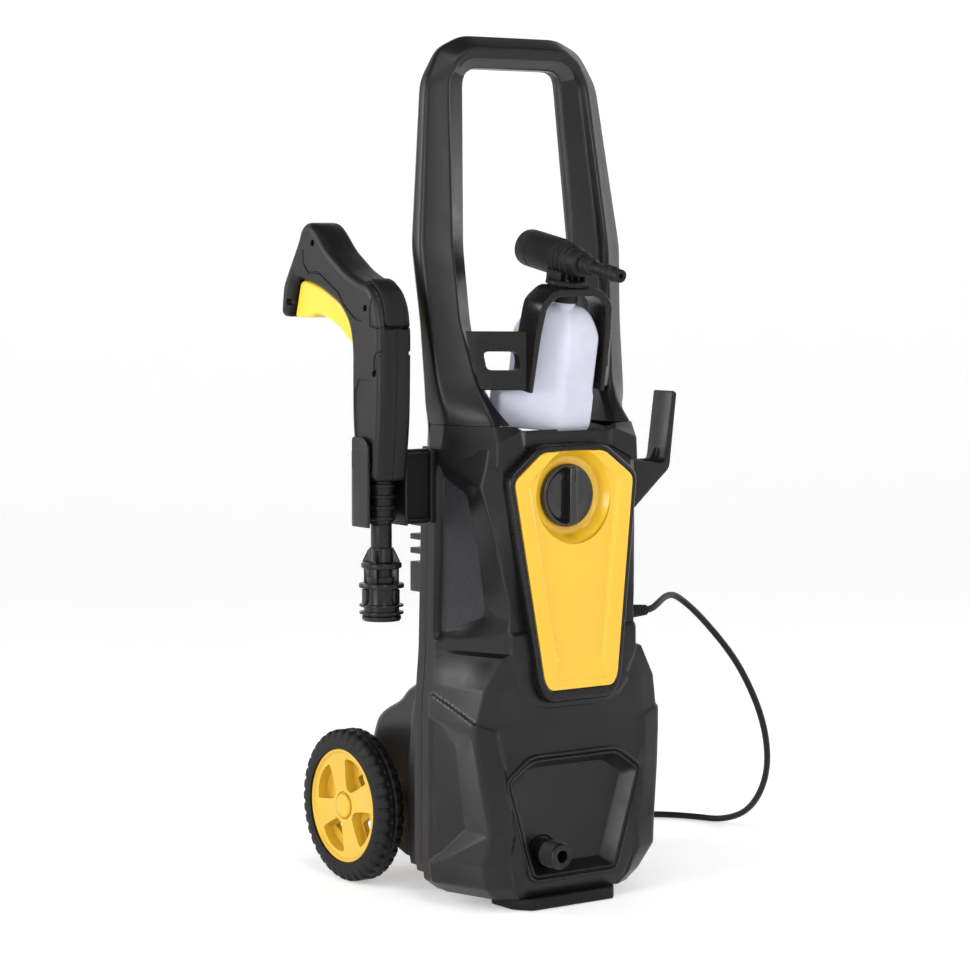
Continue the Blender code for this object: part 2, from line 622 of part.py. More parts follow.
def cord_hook():
    y = (0.040, 0.073)
    outline = [(0.1075, 0.372), (0.1130, 0.372), (0.1240, 0.3800), (0.1600, 0.4110),
               (0.1700, 0.4190), (0.1790, 0.4960), (0.1740, 0.4985), (0.1640, 0.4240),
               (0.1240, 0.4300), (0.1120, 0.4380), (0.1058, 0.4350)]
    return prism("cord_hook", outline, y[0], y[1], (BLACK, 0.40), "Y")


def gun_holder():
    """An open cradle on an arm from the left rim; its outer wall stands higher."""
    wall = 0.0030
    left, right = GUN_X - HOLDER_HALF, GUN_X + HOLDER_HALF
    mouth, back, soft = 0.054, 0.0880, 0.0060
    plate = (0.067, 0.073)
    rim_x = -0.1075
    outline = [(rim_x, plate[1]), (rim_x, plate[0]), (right + wall, plate[0]), (right + wall, mouth),
               (right, mouth), (right, back - soft), (right - soft, back), (left + soft, back),
               (left, back - soft), (left, mouth), (left - wall, mouth),
               (left - wall, back - soft), (left + soft - wall, back + wall),
               (right - soft + wall, back + wall), (right + wall, back - soft), (right + wall, plate[1])]
    body = prism("gun_holder", outline, 0.376, 0.449, (BLACK, 0.42))
    cheek = [(mouth, 0.440), (back - soft, 0.440), (back - soft, 0.463), (0.062, 0.463), (mouth, 0.455)]
    return join(body, prism("holder_cheek", cheek, left - wall, left, None, "X"))


GLAND = (0.1040, 0.042, 0.2755)
CORD_START = (0.1404, 0.042, 0.2755)


def cable_gland():
    profile = [(0, 0.0960), (0.0057, 0.0960), (0.0057, 0.1075), (0.0090, 0.1075), (0.0090, 0.1125),
               (0.0075, 0.1140), (0.0055, 0.1400), (0, 0.1400)]
    return turned("cable_gland", profile, (BLACK, 0.5), (0, GLAND[1], GLAND[2]), "X", 16)


# Spray gun, in the plane x = GUN_X, drawn as (y, z)

GUN_OUTLINE = [(0.0470, 0.4204), (0.0405, 0.4750), (0.0395, 0.5000), (0.0385, 0.5650), (0.0425, 0.5875),
               (0.0500, 0.6010), (0.0600, 0.6095), (0.0760, 0.6120), (0.0980, 0.6115),
               (0.1606, 0.6502), (0.1730, 0.6650), (0.1785, 0.6680), (0.1820, 0.6640),
               (0.1850, 0.6512), (0.2138, 0.6067), (0.2172, 0.5800), (0.2140, 0.5750),
               (0.2035, 0.5750), (0.1935, 0.6090), (0.1880, 0.6130), (0.1700, 0.6105),
               (0.1492, 0.6050), (0.1130, 0.5890), (0.0950, 0.5700), (0.0900, 0.5480),
               (0.0905, 0.4750), (0.0825, 0.4204)]
TRIGGER_OUTLINE = [(0.0915, 0.5560), (0.0965, 0.5700), (0.1130, 0.5868), (0.1492, 0.6030),
                   (0.1700, 0.6090), (0.1870, 0.6115), (0.1920, 0.6085), (0.2015, 0.5765),
                   (0.1990, 0.5745), (0.1720, 0.5745), (0.1660, 0.5790), (0.1494, 0.5766),
                   (0.1230, 0.5665), (0.0965, 0.5480)]
# room inside the shells for the trigger over its whole travel
TRIGGER_ROOM = [(0.0860, 0.5440), (0.0870, 0.5760), (0.1080, 0.6010), (0.1480, 0.6215),
                (0.1820, 0.6290), (0.1925, 0.6240), (0.1925, 0.6050), (0.1500, 0.5900),
                (0.1100, 0.5700), (0.1000, 0.5450)]
# the hose release button wraps the corner above the spine; its pocket is one travel deeper
BUTTON_OUTLINE = [(0.0362, 0.5690), (0.0400, 0.5885), (0.0480, 0.6035), (0.0590, 0.6125),
                  (0.0680, 0.6150), (0.0680, 0.6070), (0.0600, 0.6050), (0.0520, 0.5980),
                  (0.0455, 0.5860), (0.0420, 0.5690)]
BUTTON_POCKET = [(0.0300, 0.5655), (0.0450, 0.5655), (0.0486, 0.5832), (0.0550, 0.5950),
                 (0.0628, 0.6020), (0.0712, 0.6040), (0.0712, 0.6200), (0.0300, 0.6200)]
BUTTON_HALF = 0.0130


def inset(outline, distance):
    """The outline moved inwards; its points run so that the inside is on the right."""
    moved = []
    count = len(outline)
    for i, point in enumerate(outline):
        before, after = Vector(outline[i - 1]), Vector(outline[(i + 1) % count])
        here = Vector(point)
        one, two = (here - before).normalized(), (after - here).normalized()
        normal = Vector((one.y + two.y, -one.x - two.x)).normalized()
        moved.append(tuple(here + normal * distance))
    return moved


def spray_gun(gun, trigger, button):
    for half, name in ((-1, "gun_shell_left"), (1, "gun_shell_right")):
        rings = []
        for offset, depth in ((GAP / 2, 0.0), (0.0130, 0.0), (0.0170, 0.0016), (GUN_HALF, 0.0045)):
            x = GUN_X + half * offset
            rings.append([(x, y, z) for y, z in inset(GUN_OUTLINE, depth)])
        shell = loft(name, rings, (BLACK, 0.40), gun)
        near = GUN_X - half * 0.001
        low, high = sorted((near, GUN_X + half * (TRIGGER_HALF + 0.0008)))
        cut(shell, prism(name + "_slot", TRIGGER_ROOM, low, high, None, "X"))
        low, high = sorted((near, GUN_X + half * (BUTTON_HALF + GAP)))
        cut(shell, prism(name + "_pocket", BUTTON_POCKET, low, high, None, "X"))
        cut(shell, rod(name + "_bore", 0.0095, 0.41, 0.545, None, (GUN_X, GUN_Y, 0), "Z", 16))
    prism("gun_trigger", TRIGGER_OUTLINE, GUN_X - TRIGGER_HALF, GUN_X + TRIGGER_HALF,
          (YELLOW, 0.30), "X", trigger)
    prism("release_button", BUTTON_OUTLINE, GUN_X - BUTTON_HALF, GUN_X + BUTTON_HALF,
          (BLACK, 0.45), "X", button)
    rod("gun_valve", 0.0090, 0.4210, 0.5440, (BRASS, 0.3, 1.0), (GUN_X, GUN_Y, 0), "Z", 16, gun)
    core, disc, discs = 0.0118, 0.0138, 4
    boot = [(TUBE_R + GAP, 0.3800)]
    for i in range(discs):
        z = 0.3800 + 0.0105 * i
        boot += [(core, z), (core, z + 0.0020), (disc, z + 0.0030), (disc, z + 0.0050), (core, z + 0.0060)]
    boot += [(core, 0.4200), (TUBE_R + GAP, 0.4200)]
    turned("gun_boot", boot, (BLACK, 0.55), (GUN_X, GUN_Y, 0), "Z", 24, gun)
    rod("lance_tube", TUBE_R, 0.3300, 0.4200, (DARK, 0.45), (GUN_X, GUN_Y, 0), "Z", 24, gun)
    lance_socket(gun)


def lance_socket(gun):
    """Bayonet socket: a cone, a neck and a sleeve with flanges, on the tube's end."""
    low, top, ledge = 0.2850, 0.3560, 0.3280
    sleeve, neck, hollow = 0.0165, 0.0135, 0.0140
    profile = [(hollow, low), (sleeve + 0.002, low), (sleeve + 0.003, low + 0.0040)]
    for z, thick, radius in ((0.2910, 0.0030, 0.0215), (0.2980, 0.0030, 0.0215), (0.3170, 0.0045, 0.0220)):
        profile += [(radius, z), (radius, z + thick), (sleeve, z + thick)]
    profile = profile[:-1]
    profile += [(neck, 0.3225), (neck, 0.3350), (0.0197, 0.3360), (0.0197, 0.3410), (TUBE_R + 0.0025, top),
                (TUBE_R + GAP, top), (TUBE_R + GAP, ledge), (hollow, ledge)]
    return turned("lance_socket", profile, (BLACK, 0.45), (GUN_X, GUN_Y, 0), "Z", 28, gun)


# Foam bottle and nozzle

def foam_set(bottle):
    low = [(0.000, -0.0195), (0.034, -0.0195), (0.0375, -0.0160), (0.0375, 0.0320), (0.0320, 0.0370),
           (-0.0480, 0.0370), (-0.0550, 0.0300), (-0.0550, 0.0120)]
    high = [(-0.002, -0.0195), (0.032, -0.0195), (0.0355, -0.0160), (0.0355, 0.0300),
            (0.0300, 0.0350), (-0.0300, 0.0350), (-0.0355, 0.0300), (-0.0355, 0.0040)]
    levels = [(-0.1675, 0.90, low), (-0.1620, 1.0, low), (-0.1320, 1.0, low), (-0.1280, 1.0, high),
              (-0.0620, 1.0, high), (-0.0470, 0.78, high), (-0.0350, 0.52, high)]
    rings = [leaning([(x * scale, y * scale, z) for x, y in outline]) for z, scale, outline in levels]
    body = loft("foam_bottle", rings, (MILKY, 0.25), bottle)
    at = (0, NECK_Y, NECK_Z)
    up = Matrix.Rotation(LEAN, 3, "X")
    join(body, rod("bottle_neck", 0.0115, -0.0450, -0.0245, None, at, up, 20, bottle))
    wall, middle = 0.0015, -0.1
    inner = []
    for z, scale, outline in levels[1:-1]:
        shrink = scale * 0.94
        lift = wall if z < middle else -wall
        inner.append(leaning([(x * shrink, y * shrink, z + lift) for x, y in outline]))
    cut(body, loft("bottle_hollow", inner, None, bottle))
    cut(body, rod("neck_bore", 0.0095, -0.0600, -0.0100, None, at, up, 20, bottle))
    cap = [(0.0060, -0.0241), (0.0200, -0.0241), (0.0200, -0.0194), (0.0060, -0.0194)]
    turned("bottle_cap", cap, (DARK, 0.5), at, up, 24, bottle)
    rod("dip_tube", 0.0025, -0.1580, -0.0170, (MILKY, 0.4), at, up, 12, bottle)
    nozzle(bottle)


def nozzle(bottle):
    """Nozzle parts along their axis across the neck; distances grow towards the rear."""
    along = Matrix.Rotation(LEAN, 3, "X") @ AXES["Y"]
    at = (0, NECK_Y, NECK_Z)
    barrel = [(0.0160, 0.0665), (0.0180, 0.0665), (0.0185, 0.0645), (0.0185, 0.0115),
              (0.0170, 0.0095), (0.0100, 0.0095), (0.0100, 0.0195), (0.0150, 0.0235)]
    turned("nozzle_barrel", barrel, (DARK, 0.55), at, along, 28, bottle)
    body = [(0, -0.0245), (0.0110, -0.0245), (0.0150, -0.0205), (0.0150, -0.0145),
            (0.0125, -0.0135), (0.0125, -0.0105), (0.0150, -0.0095), (0.0150, -0.0035),
            (0.0125, -0.0025), (0.0125, 0.0005), (0.0160, 0.0015), (0.0160, 0.0091), (0, 0.0091)]
    turned("nozzle_body", body, (DARK, 0.55), at, along, 24, bottle)
    spigot = [(0, -0.0249), (0.0090, -0.0249), (0.0090, -0.0385), (0.0062, -0.0405),
              (0.0062, -0.0565), (0.0075, -0.0585), (0.0075, -0.0725), (0.0064, -0.0765),
              (0.0064, -0.0825), (0.0025, -0.0825), (0.0025, -0.0705), (0, -0.0705)]
    turned("nozzle_spigot", spigot, (DARK, 0.50), at, along, 20, bottle)


# Cord on the floor

def smooth_route(points, step):
    """Points every step metres along a smooth curve with straight first and last spans."""
    pts = [Vector(p) for p in points]
    fine = []
    for a, b, c, d in zip(pts, pts[1:], pts[2:], pts[3:]):
        for i in range(40):
            t = i / 40
            fine.append(0.5 * ((2 * b) + (c - a) * t + (2 * a - 5 * b + 4 * c - d) * t * t
                               + (3 * b - a - 3 * c + d) * t ** 3))
    fine.append(pts[-2])
    lengths = np.cumsum([0.0] + [(b - a).length for a, b in zip(fine, fine[1:])])
    count = max(2, round(lengths[-1] / step))
    places = np.linspace(0, lengths[-1], count + 1)
    table = np.array([tuple(p) for p in fine])
    middle = [tuple(np.interp(s, lengths, table[:, k]) for k in range(3)) for s in places]
    return [tuple(pts[0]), *middle, tuple(pts[-1])]


def cord_route():
    """From the gland up, over, down to the floor, and round behind to the coil."""
    floor = CORD_R + 0.0003
    edge = COIL_MID_R + COIL_HALF + GAP
    return [CORD_START, (0.1480, *CORD_START[1:]), (0.1620, 0.0490, 0.2790),
            (0.1810, 0.0620, 0.2830), (0.2060, 0.0760, 0.2790),
            (0.2520, 0.0820, 0.2410), (0.3030, 0.0830, 0.1830), (0.3480, 0.0980, 0.1150),
            (0.3800, 0.1300, 0.0560), (0.3920, 0.1800, 0.0140), (0.3880, 0.2400, floor),
            (0.3560, 0.3250, floor), (0.3100, 0.3840, floor),
            (COIL_AT[0] + edge + 0.010, COIL_AT[1], floor), (COIL_AT[0] + edge, COIL_AT[1], floor)]


def power_cord():
    curve = bpy.data.curves.new("power_cord", "CURVE")
    curve.dimensions = "3D"
    curve.bevel_depth = CORD_R
    curve.bevel_resolution = 2
    curve.use_fill_caps = True
    points = smooth_route(cord_route(), CORD_R * 2 * 2.2)
    spline = curve.splines.new("POLY")
    spline.points.add(len(points) - 1)
    for point, place in zip(spline.points, points):
        point.co = (*place, 1.0)
    curve.materials.append(make_material("power_cord", BLACK, 0.55))
    obj = bpy.data.objects.new("power_cord", curve)
    bpy.context.scene.collection.objects.link(obj)
    return obj


def cord_coil():
    inner, outer = COIL_MID_R - COIL_HALF, COIL_MID_R + COIL_HALF
    low, high, soft = 0.0002, 2 * COIL_HALF, 0.005
    profile = [(inner, low), (outer, low), (outer, high - soft),
               (outer - soft, high), (inner + soft, high), (inner, high - soft)]
    turned("cord_coil", profile, (BLACK, 0.55), (*COIL_AT, 0), "Z", 32)
    x, y, z = PLUG_AT
    sleeve = [(0, 0), (0.0042, 0), (0.0042, 0.0280), (0.0060, 0.0280), (0.0100, 0.0460), (0.0178, 0.0500),
              (0.0178, 0.0760), (0.0160, 0.0780), (0, 0.0780)]
    turned("mains_plug", [(r, -h) for r, h in sleeve], (BLACK, 0.5), (x, y, z), "Y", 20)
    for side, name in ((-1, "plug_pin_1"), (1, "plug_pin_2")):
        pin = [(0, -0.0784), (0.0024, -0.0784), (0.0024, -0.0960), (0.0016, -0.0970), (0, -0.0970)]
        turned(name, pin, (STEEL, 0.25, 1.0), (x + side * 0.0095, y, z), "Y", 12)


def foot_and_axle():
    half = [(0.0630, 0.0320), (0.0630, -0.0040), (0.0500, -0.0210)]
    prism("front_foot", mirrored(half), 0.0, BODY_LOW - GAP, (DARK, 0.7))
    end = WHEEL_OUT - 0.0055
    rod("axle", AXLE_R, -end, end, (STEEL, 0.3, 1.0), (0, WHEEL_Y, WHEEL_R), "X", 16)


def main():
    for obj in list(bpy.data.objects):
        bpy.data.objects.remove(obj, do_unlink=True)
    front_housing()
    rear_housing()
    top_collar()
    handle_screws(handle_front_cover(), handle_rear_frame())
    accessory_holder()
    panel_bezel()
    front_panel()
    switch_knob(pivot("switch_axis", (0, -0.010, KNOB_Z)))
    outlet_panel()
    outlet_fitting()
    inlet_fitting()
    drive_train(pivot("motor_axis", (0, PUMP_Y, 0.2)))
    foot_and_axle()
    wheel(-1, "left")
    wheel(1, "right")
    cord_hook()
    gun_holder()
    cable_gland()
    gun = pivot("gun_axis", (GUN_X, GUN_Y, 0.42))
    trigger = pivot("trigger_axis", (GUN_X, *TRIGGER_PIN), gun)
    spray_gun(gun, trigger, pivot("button_axis", (GUN_X, 0.050, 0.600), gun))
    foam_set(pivot("bottle_axis", (0, NECK_Y, NECK_Z)))
    power_cord()
    cord_coil()


main()
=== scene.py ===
import bpy
import bmesh
import math
import numpy as np
from mathutils import Matrix, Vector
from mathutils.geometry import delaunay_2d_cdt


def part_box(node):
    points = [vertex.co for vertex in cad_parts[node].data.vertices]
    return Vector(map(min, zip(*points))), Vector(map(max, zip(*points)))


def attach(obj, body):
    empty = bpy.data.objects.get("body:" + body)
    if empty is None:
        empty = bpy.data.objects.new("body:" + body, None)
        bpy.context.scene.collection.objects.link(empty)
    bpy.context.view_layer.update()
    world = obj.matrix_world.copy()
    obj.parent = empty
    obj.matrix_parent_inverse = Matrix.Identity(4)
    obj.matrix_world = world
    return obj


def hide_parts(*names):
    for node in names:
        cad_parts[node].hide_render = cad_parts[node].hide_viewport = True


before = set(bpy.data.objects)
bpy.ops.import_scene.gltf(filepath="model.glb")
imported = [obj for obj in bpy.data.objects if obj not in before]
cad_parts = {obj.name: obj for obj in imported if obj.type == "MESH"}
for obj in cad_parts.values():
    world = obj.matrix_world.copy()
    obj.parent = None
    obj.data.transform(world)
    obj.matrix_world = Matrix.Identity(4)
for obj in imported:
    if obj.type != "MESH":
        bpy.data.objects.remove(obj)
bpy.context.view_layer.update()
scene = bpy.context.scene
print("frame loaded:", len(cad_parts), "nodes")


# outlines are lists of 2D points, rings are lists of 3D points

cornerShare = 0.45                             # most of an edge that one rounded corner may take


def mm(table):                                 # a table written in millimetres, in metres
    if isinstance(table, (list, tuple)):
        return type(table)(mm(v) for v in table)
    return round(table / 1000, 7)


def softCorner(here, back, on, size, steps):   # a curve in place of the corner between two edges
    reach = min(size, back.length * cornerShare, on.length * cornerShare)
    a, b = here + back.normalized() * reach, here + on.normalized() * reach
    shares = [k / steps for k in range(steps + 1)]
    return [a * (1 - t) ** 2 + here * 2 * t * (1 - t) + b * t * t for t in shares]


def roundCorners(points, radius, steps=4):     # outline or ring, with one radius or one per corner
    result = []
    count = len(points)
    for i, point in enumerate(points):
        here = Vector(point)
        back, on = Vector(points[i - 1]) - here, Vector(points[(i + 1) % count]) - here
        size = radius[i] if isinstance(radius, (list, tuple)) else radius
        result += softCorner(here, back, on, size, steps)
    return result


def blend(first, last, share):                 # part of the way from one list of points to another
    return [tuple(p + (q - p) * share for p, q in zip(a, b)) for a, b in zip(first, last)]


def offsetOutline(points, distance):           # moves an outline inwards, whichever way it runs
    flat = np.array([tuple(p) for p in points], float)
    ahead, behind = np.roll(flat, -1, 0), np.roll(flat, 1, 0)
    area = np.sum(flat[:, 0] * ahead[:, 1] - ahead[:, 0] * flat[:, 1])
    out = []
    for p, a, b in zip(flat, behind, ahead):
        one, two = p - a, b - p
        one /= max(np.linalg.norm(one), 1e-9)
        two /= max(np.linalg.norm(two), 1e-9)
        n = np.array([-(one[1] + two[1]), one[0] + two[0]])
        size = max(np.linalg.norm(n), 0.6)
        n = n / size * (2 / size if size > 1.2 else 1)
        out.append(p + n * distance * (1 if area > 0 else -1))
    return out


def mirrorHalf(points):                        # right half, from low middle to high middle
    return [(x, z) for x, z in points] + [(-x, z) for x, z in reversed(points)]


def polyDistance(px, pz, polygon):             # signed distance, negative inside
    poly = np.array(polygon, float)
    best = np.full(px.shape, 1e9)
    inside = np.zeros(px.shape, bool)
    for (ax, az), (bx, bz) in zip(poly, np.roll(poly, -1, 0)):
        ex, ez = bx - ax, bz - az
        t = np.clip(((px - ax) * ex + (pz - az) * ez) / (ex * ex + ez * ez + 1e-15), 0, 1)
        best = np.minimum(best, np.hypot(px - ax - t * ex, pz - az - t * ez))
        crosses = (az > pz) != (bz > pz)
        where = (bx - ax) * (pz - az) / (bz - az + 1e-15) + ax
        inside ^= crosses & (px < where)
    return np.where(inside, -best, best)


def readLevels(z, table):                      # the columns of a table of heights, read at one height
    rows = np.array([np.hstack(row) for row in table])
    return [float(np.interp(z, rows[:, 0], column)) for column in rows[:, 1:].T]


def smoothStep(value, low, high):
    t = np.clip((value - low) / (high - low), 0, 1)
    return t * t * (3 - 2 * t)


def recessShare(px, pz, outer, inner):         # 0 at the outer outline, 1 inside the inner one
    fromOuter = np.maximum(-polyDistance(px, pz, outer), 0)
    fromInner = np.maximum(polyDistance(px, pz, inner), 0)
    share = fromOuter / (fromOuter + fromInner + 1e-9)
    return np.where(fromInner <= 0, np.where(fromOuter > 0, 1.0, 0.0), share)


# meshes

def shapeOf(name, verts, faces, angle=32):
    mesh = bpy.data.meshes.new(name)
    mesh.from_pydata([tuple(v) for v in verts], [], faces)
    data = bmesh.new()
    data.from_mesh(mesh)
    bmesh.ops.remove_doubles(data, verts=data.verts, dist=1e-6)
    bmesh.ops.dissolve_degenerate(data, edges=data.edges, dist=1e-7)
    bmesh.ops.recalc_face_normals(data, faces=data.faces)
    data.to_mesh(mesh)
    data.free()
    mesh.shade_smooth()
    mesh.set_sharp_from_angle(angle=math.radians(angle))
    piece = bpy.data.objects.new(name, mesh)
    scene.collection.objects.link(piece)
    return piece


def skin(name, rings, angle=32, capStart=True, capEnd=True, openRing=False, closedLoop=False):
    count = len(rings[0])
    verts = [p for ring in rings for p in ring]
    faces = []
    spans = len(rings) if closedLoop else len(rings) - 1
    for r in range(spans):
        a, b = r * count, ((r + 1) % len(rings)) * count
        for i in range(count - (1 if openRing else 0)):
            j = (i + 1) % count
            faces.append((a + i, a + j, b + j, b + i))
    if not closedLoop and not openRing:
        for cap, ring, first in ((capStart, rings[0], 0), (capEnd, rings[-1], (len(rings) - 1) * count)):
            if cap:
                faces.append(tuple(first + i for i in range(count)))
    return shapeOf(name, verts, faces, angle)


axes = {"Z": Matrix.Identity(3),
        "X": Matrix(((0, 0, 1), (1, 0, 0), (0, 1, 0))),
        "Y": Matrix(((0, 1, 0), (0, 0, 1), (1, 0, 0)))}


def lathe(name, profile, at=(0, 0, 0), axis="Z", sides=64, angle=32, shape=None):
    turn = axes[axis] if isinstance(axis, str) else axis
    rings = []
    for radius, height in profile:
        ring = []
        for i in range(sides):
            a = 2 * math.pi * i / sides
            r = radius if shape is None or radius <= 0 else shape(radius, height, a)
            ring.append(Vector(at) + turn @ Vector((r * math.cos(a), r * math.sin(a), height)))
        rings.append(ring)
    closed = profile[0][0] > 0 and profile[-1][0] > 0
    return skin(name, rings, angle, closedLoop=closed)


def softProfile(profile, radius=0.0008, steps=2):      # rounds the corners of an open profile
    soft = [profile[0]]
    for a, b, c in zip(profile, profile[1:], profile[2:]):
        here = Vector(b)
        back, on = Vector(a) - here, Vector(c) - here
        if min(back.length, on.length) * cornerShare < 1e-6:
            soft.append(b)
        else:
            soft += [tuple(p) for p in softCorner(here, back, on, radius, steps)]
    soft.append(profile[-1])
    return soft


def rod(radius, low, high):                    # profile of a round bar, to cut with or to join on
    return [(0, low), (radius, low), (radius, high), (0, high)]


places = {"Z": lambda a, b, c: (a, b, c), "Y": lambda a, b, c: (a, c, b), "X": lambda a, b, c: (c, a, b)}


def slab(name, outline, low, high, axis="Z", edge=0.0015, steps=3, angle=32):   # plate of a convex outline
    put = places[axis]
    rings = []
    half = (high - low) / 2
    edge = min(edge, half * 0.98)
    for end in (0, 1):
        for k in range(steps + 1):
            t = k / steps if end == 0 else 1 - k / steps
            turnBy = t * math.pi / 2
            inset, rise = edge * (1 - math.sin(turnBy)), edge * (1 - math.cos(turnBy))
            level = low + rise if end == 0 else high - rise
            moved = offsetOutline(outline, inset) if inset > 1e-7 else [tuple(p) for p in outline]
            rings.append([put(p[0], p[1], level) for p in moved])
    return skin(name, rings, angle)


def box(name, x, y, z, edge=0.0008):
    corners = [(x[0], y[0]), (x[1], y[0]), (x[1], y[1]), (x[0], y[1])]
    return slab(name, roundCorners(corners, edge * 1.5, 3), z[0], z[1], "Z", edge)


# faces that fill an outline, through points inside it
def fillOutline(poly, inner):
    border = [(i, (i + 1) % len(poly)) for i in range(len(poly))]
    spots = [Vector(p) for p in np.vstack([poly] + inner)]
    made = delaunay_2d_cdt(spots, border, [], 1, 1e-6)
    return np.array([tuple(p) for p in made[0]]), [tuple(face) for face in made[2]]


def closeShell(name, first, second, faces, angle):     # two matching faces and the wall between them
    count = len(first)
    used = dict.fromkeys((a, b) for face in faces for a, b in zip(face, face[1:] + face[:1]))
    sides = [(a, b) for a, b in used if (b, a) not in used]
    shell = faces + [tuple(count + i for i in reversed(face)) for face in faces]
    shell += [(b, a, count + a, count + b) for a, b in sides]
    return shapeOf(name, first + second, shell, angle)


reliefSettings = {"pitch": 0.0017, "clear": 0.0030, "edge": 0.0025,
                  "insets": (0.0004, 0.0010, 0.0018, 0.0027)}


def relief(name, outline, low, heightOf, extras, put):     # a wall round an outline, with a modelled face
    s = reliefSettings
    poly = np.array([tuple(p) for p in outline], float)
    (x0, y0), (x1, y1) = poly.min(0), poly.max(0)
    gx, gy = np.meshgrid(np.arange(x0, x1, s["pitch"]), np.arange(y0, y1, s["pitch"]))
    gx[1::2] += s["pitch"] / 2

    def within(points, clear):
        return points[-polyDistance(points[:, 0], points[:, 1], poly) > clear]

    wanted = [within(np.column_stack([gx.ravel(), gy.ravel()]), s["clear"])]
    for inset in s["insets"]:
        ring = offsetOutline(resample(outline, s["edge"]), inset)
        wanted.append(within(np.array([tuple(p) for p in ring]), inset * 0.9))
    wanted.append(within(np.array(extras), 0.0006))
    points, faces = fillOutline(poly, wanted)
    depth = np.maximum(-polyDistance(points[:, 0], points[:, 1], poly), 0)
    heights = heightOf(points[:, 0], points[:, 1], depth)
    face = [put(p[0], p[1], h) for p, h in zip(points, heights)]
    return closeShell(name, face, [put(p[0], p[1], low) for p in points], faces, 35)


def pad(name, outline, low, high, axis="Z", edge=0.0015, angle=40):   # rounded plate of any outline
    put = places[axis]
    poly = [tuple(p) for p in outline]
    flat = np.array(poly)
    rings = []
    for inset in (edge * 0.3, edge * 0.65, edge):
        ring = np.array([tuple(p) for p in offsetOutline(resample(poly, 0.004), inset)])
        rings.append(ring[-polyDistance(ring[:, 0], ring[:, 1], flat) > inset * 0.93])
    points, faces = fillOutline(flat, rings)
    t = np.clip(-polyDistance(points[:, 0], points[:, 1], flat) / edge, 0, 1)
    sink = edge * (1 - np.sqrt(np.maximum(1 - (1 - t) ** 2, 0)))
    lower = [put(p[0], p[1], low + s) for p, s in zip(points, sink)]
    return closeShell(name, lower, [put(p[0], p[1], high - s) for p, s in zip(points, sink)], faces, angle)


def resample(points, step):                            # adds points along the long edges of an outline
    result = []
    for a, b in zip(points, list(points[1:]) + [points[0]]):
        a, b = Vector(a), Vector(b)
        count = max(1, int((b - a).length / step))
        result += [a + (b - a) * k / count for k in range(count)]
    return result


def lineDistance(px, pz, line):                        # distance to an open polyline
    best = np.full(px.shape, 1e9)
    for (ax, az), (bx, bz) in zip(line, line[1:]):
        ex, ez = bx - ax, bz - az
        t = np.clip(((px - ax) * ex + (pz - az) * ez) / (ex * ex + ez * ez + 1e-15), 0, 1)
        best = np.minimum(best, np.hypot(px - ax - t * ex, pz - az - t * ez))
    return best


def combine(piece, tools, operation="DIFFERENCE"):     # boolean, applied at once
    for tool in tools:
        change = piece.modifiers.new("change", "BOOLEAN")
        change.operation, change.solver, change.object = operation, "MANIFOLD", tool
        graph = bpy.context.evaluated_depsgraph_get()
        made = bpy.data.meshes.new_from_object(piece.evaluated_get(graph))
        piece.modifiers.clear()
        old = piece.data
        piece.data = made
        bpy.data.meshes.remove(old)
        bpy.data.objects.remove(tool)
    piece.data.shade_smooth()
    piece.data.set_sharp_from_angle(angle=math.radians(32))
    return piece


def merge(name, pieces):                               # several shapes as one object
    data = bmesh.new()
    for piece in pieces:
        data.from_mesh(piece.data)
    mesh = bpy.data.meshes.new(name)
    data.to_mesh(mesh)
    data.free()
    for piece in pieces:
        old = piece.data
        bpy.data.objects.remove(piece)
        bpy.data.meshes.remove(old)
    mesh.shade_smooth()
    mesh.set_sharp_from_angle(angle=math.radians(32))
    made = bpy.data.objects.new(name, mesh)
    scene.collection.objects.link(made)
    return made


def place(piece, body, slotName, material, *nodes):
    piece.data.materials.clear()
    piece.data.materials.append(material)
    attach(piece, body)
    if nodes:
        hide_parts(*nodes)
    return piece


# camera

cameraSettings = {"place": (-1.789, -2.335, 0.647), "turn": 36.0, "down": 4.563, "lens": 112.1}
cameraData = bpy.data.cameras.new("camera")
cameraData.lens = cameraSettings["lens"]
cameraData.sensor_width = 36.0
camera = bpy.data.objects.new("camera", cameraData)
scene.collection.objects.link(camera)
camera.location = cameraSettings["place"]
turnBy, downBy = math.radians(cameraSettings["turn"]), math.radians(cameraSettings["down"])
ahead = Vector((math.sin(turnBy) * math.cos(downBy), math.cos(turnBy) * math.cos(downBy),
                -math.sin(downBy)))
camera.rotation_euler = ahead.to_track_quat("-Z", "Y").to_euler()
scene.camera = camera
print("camera placed")


# materials: every one is procedural, in object space so that the scale is in metres

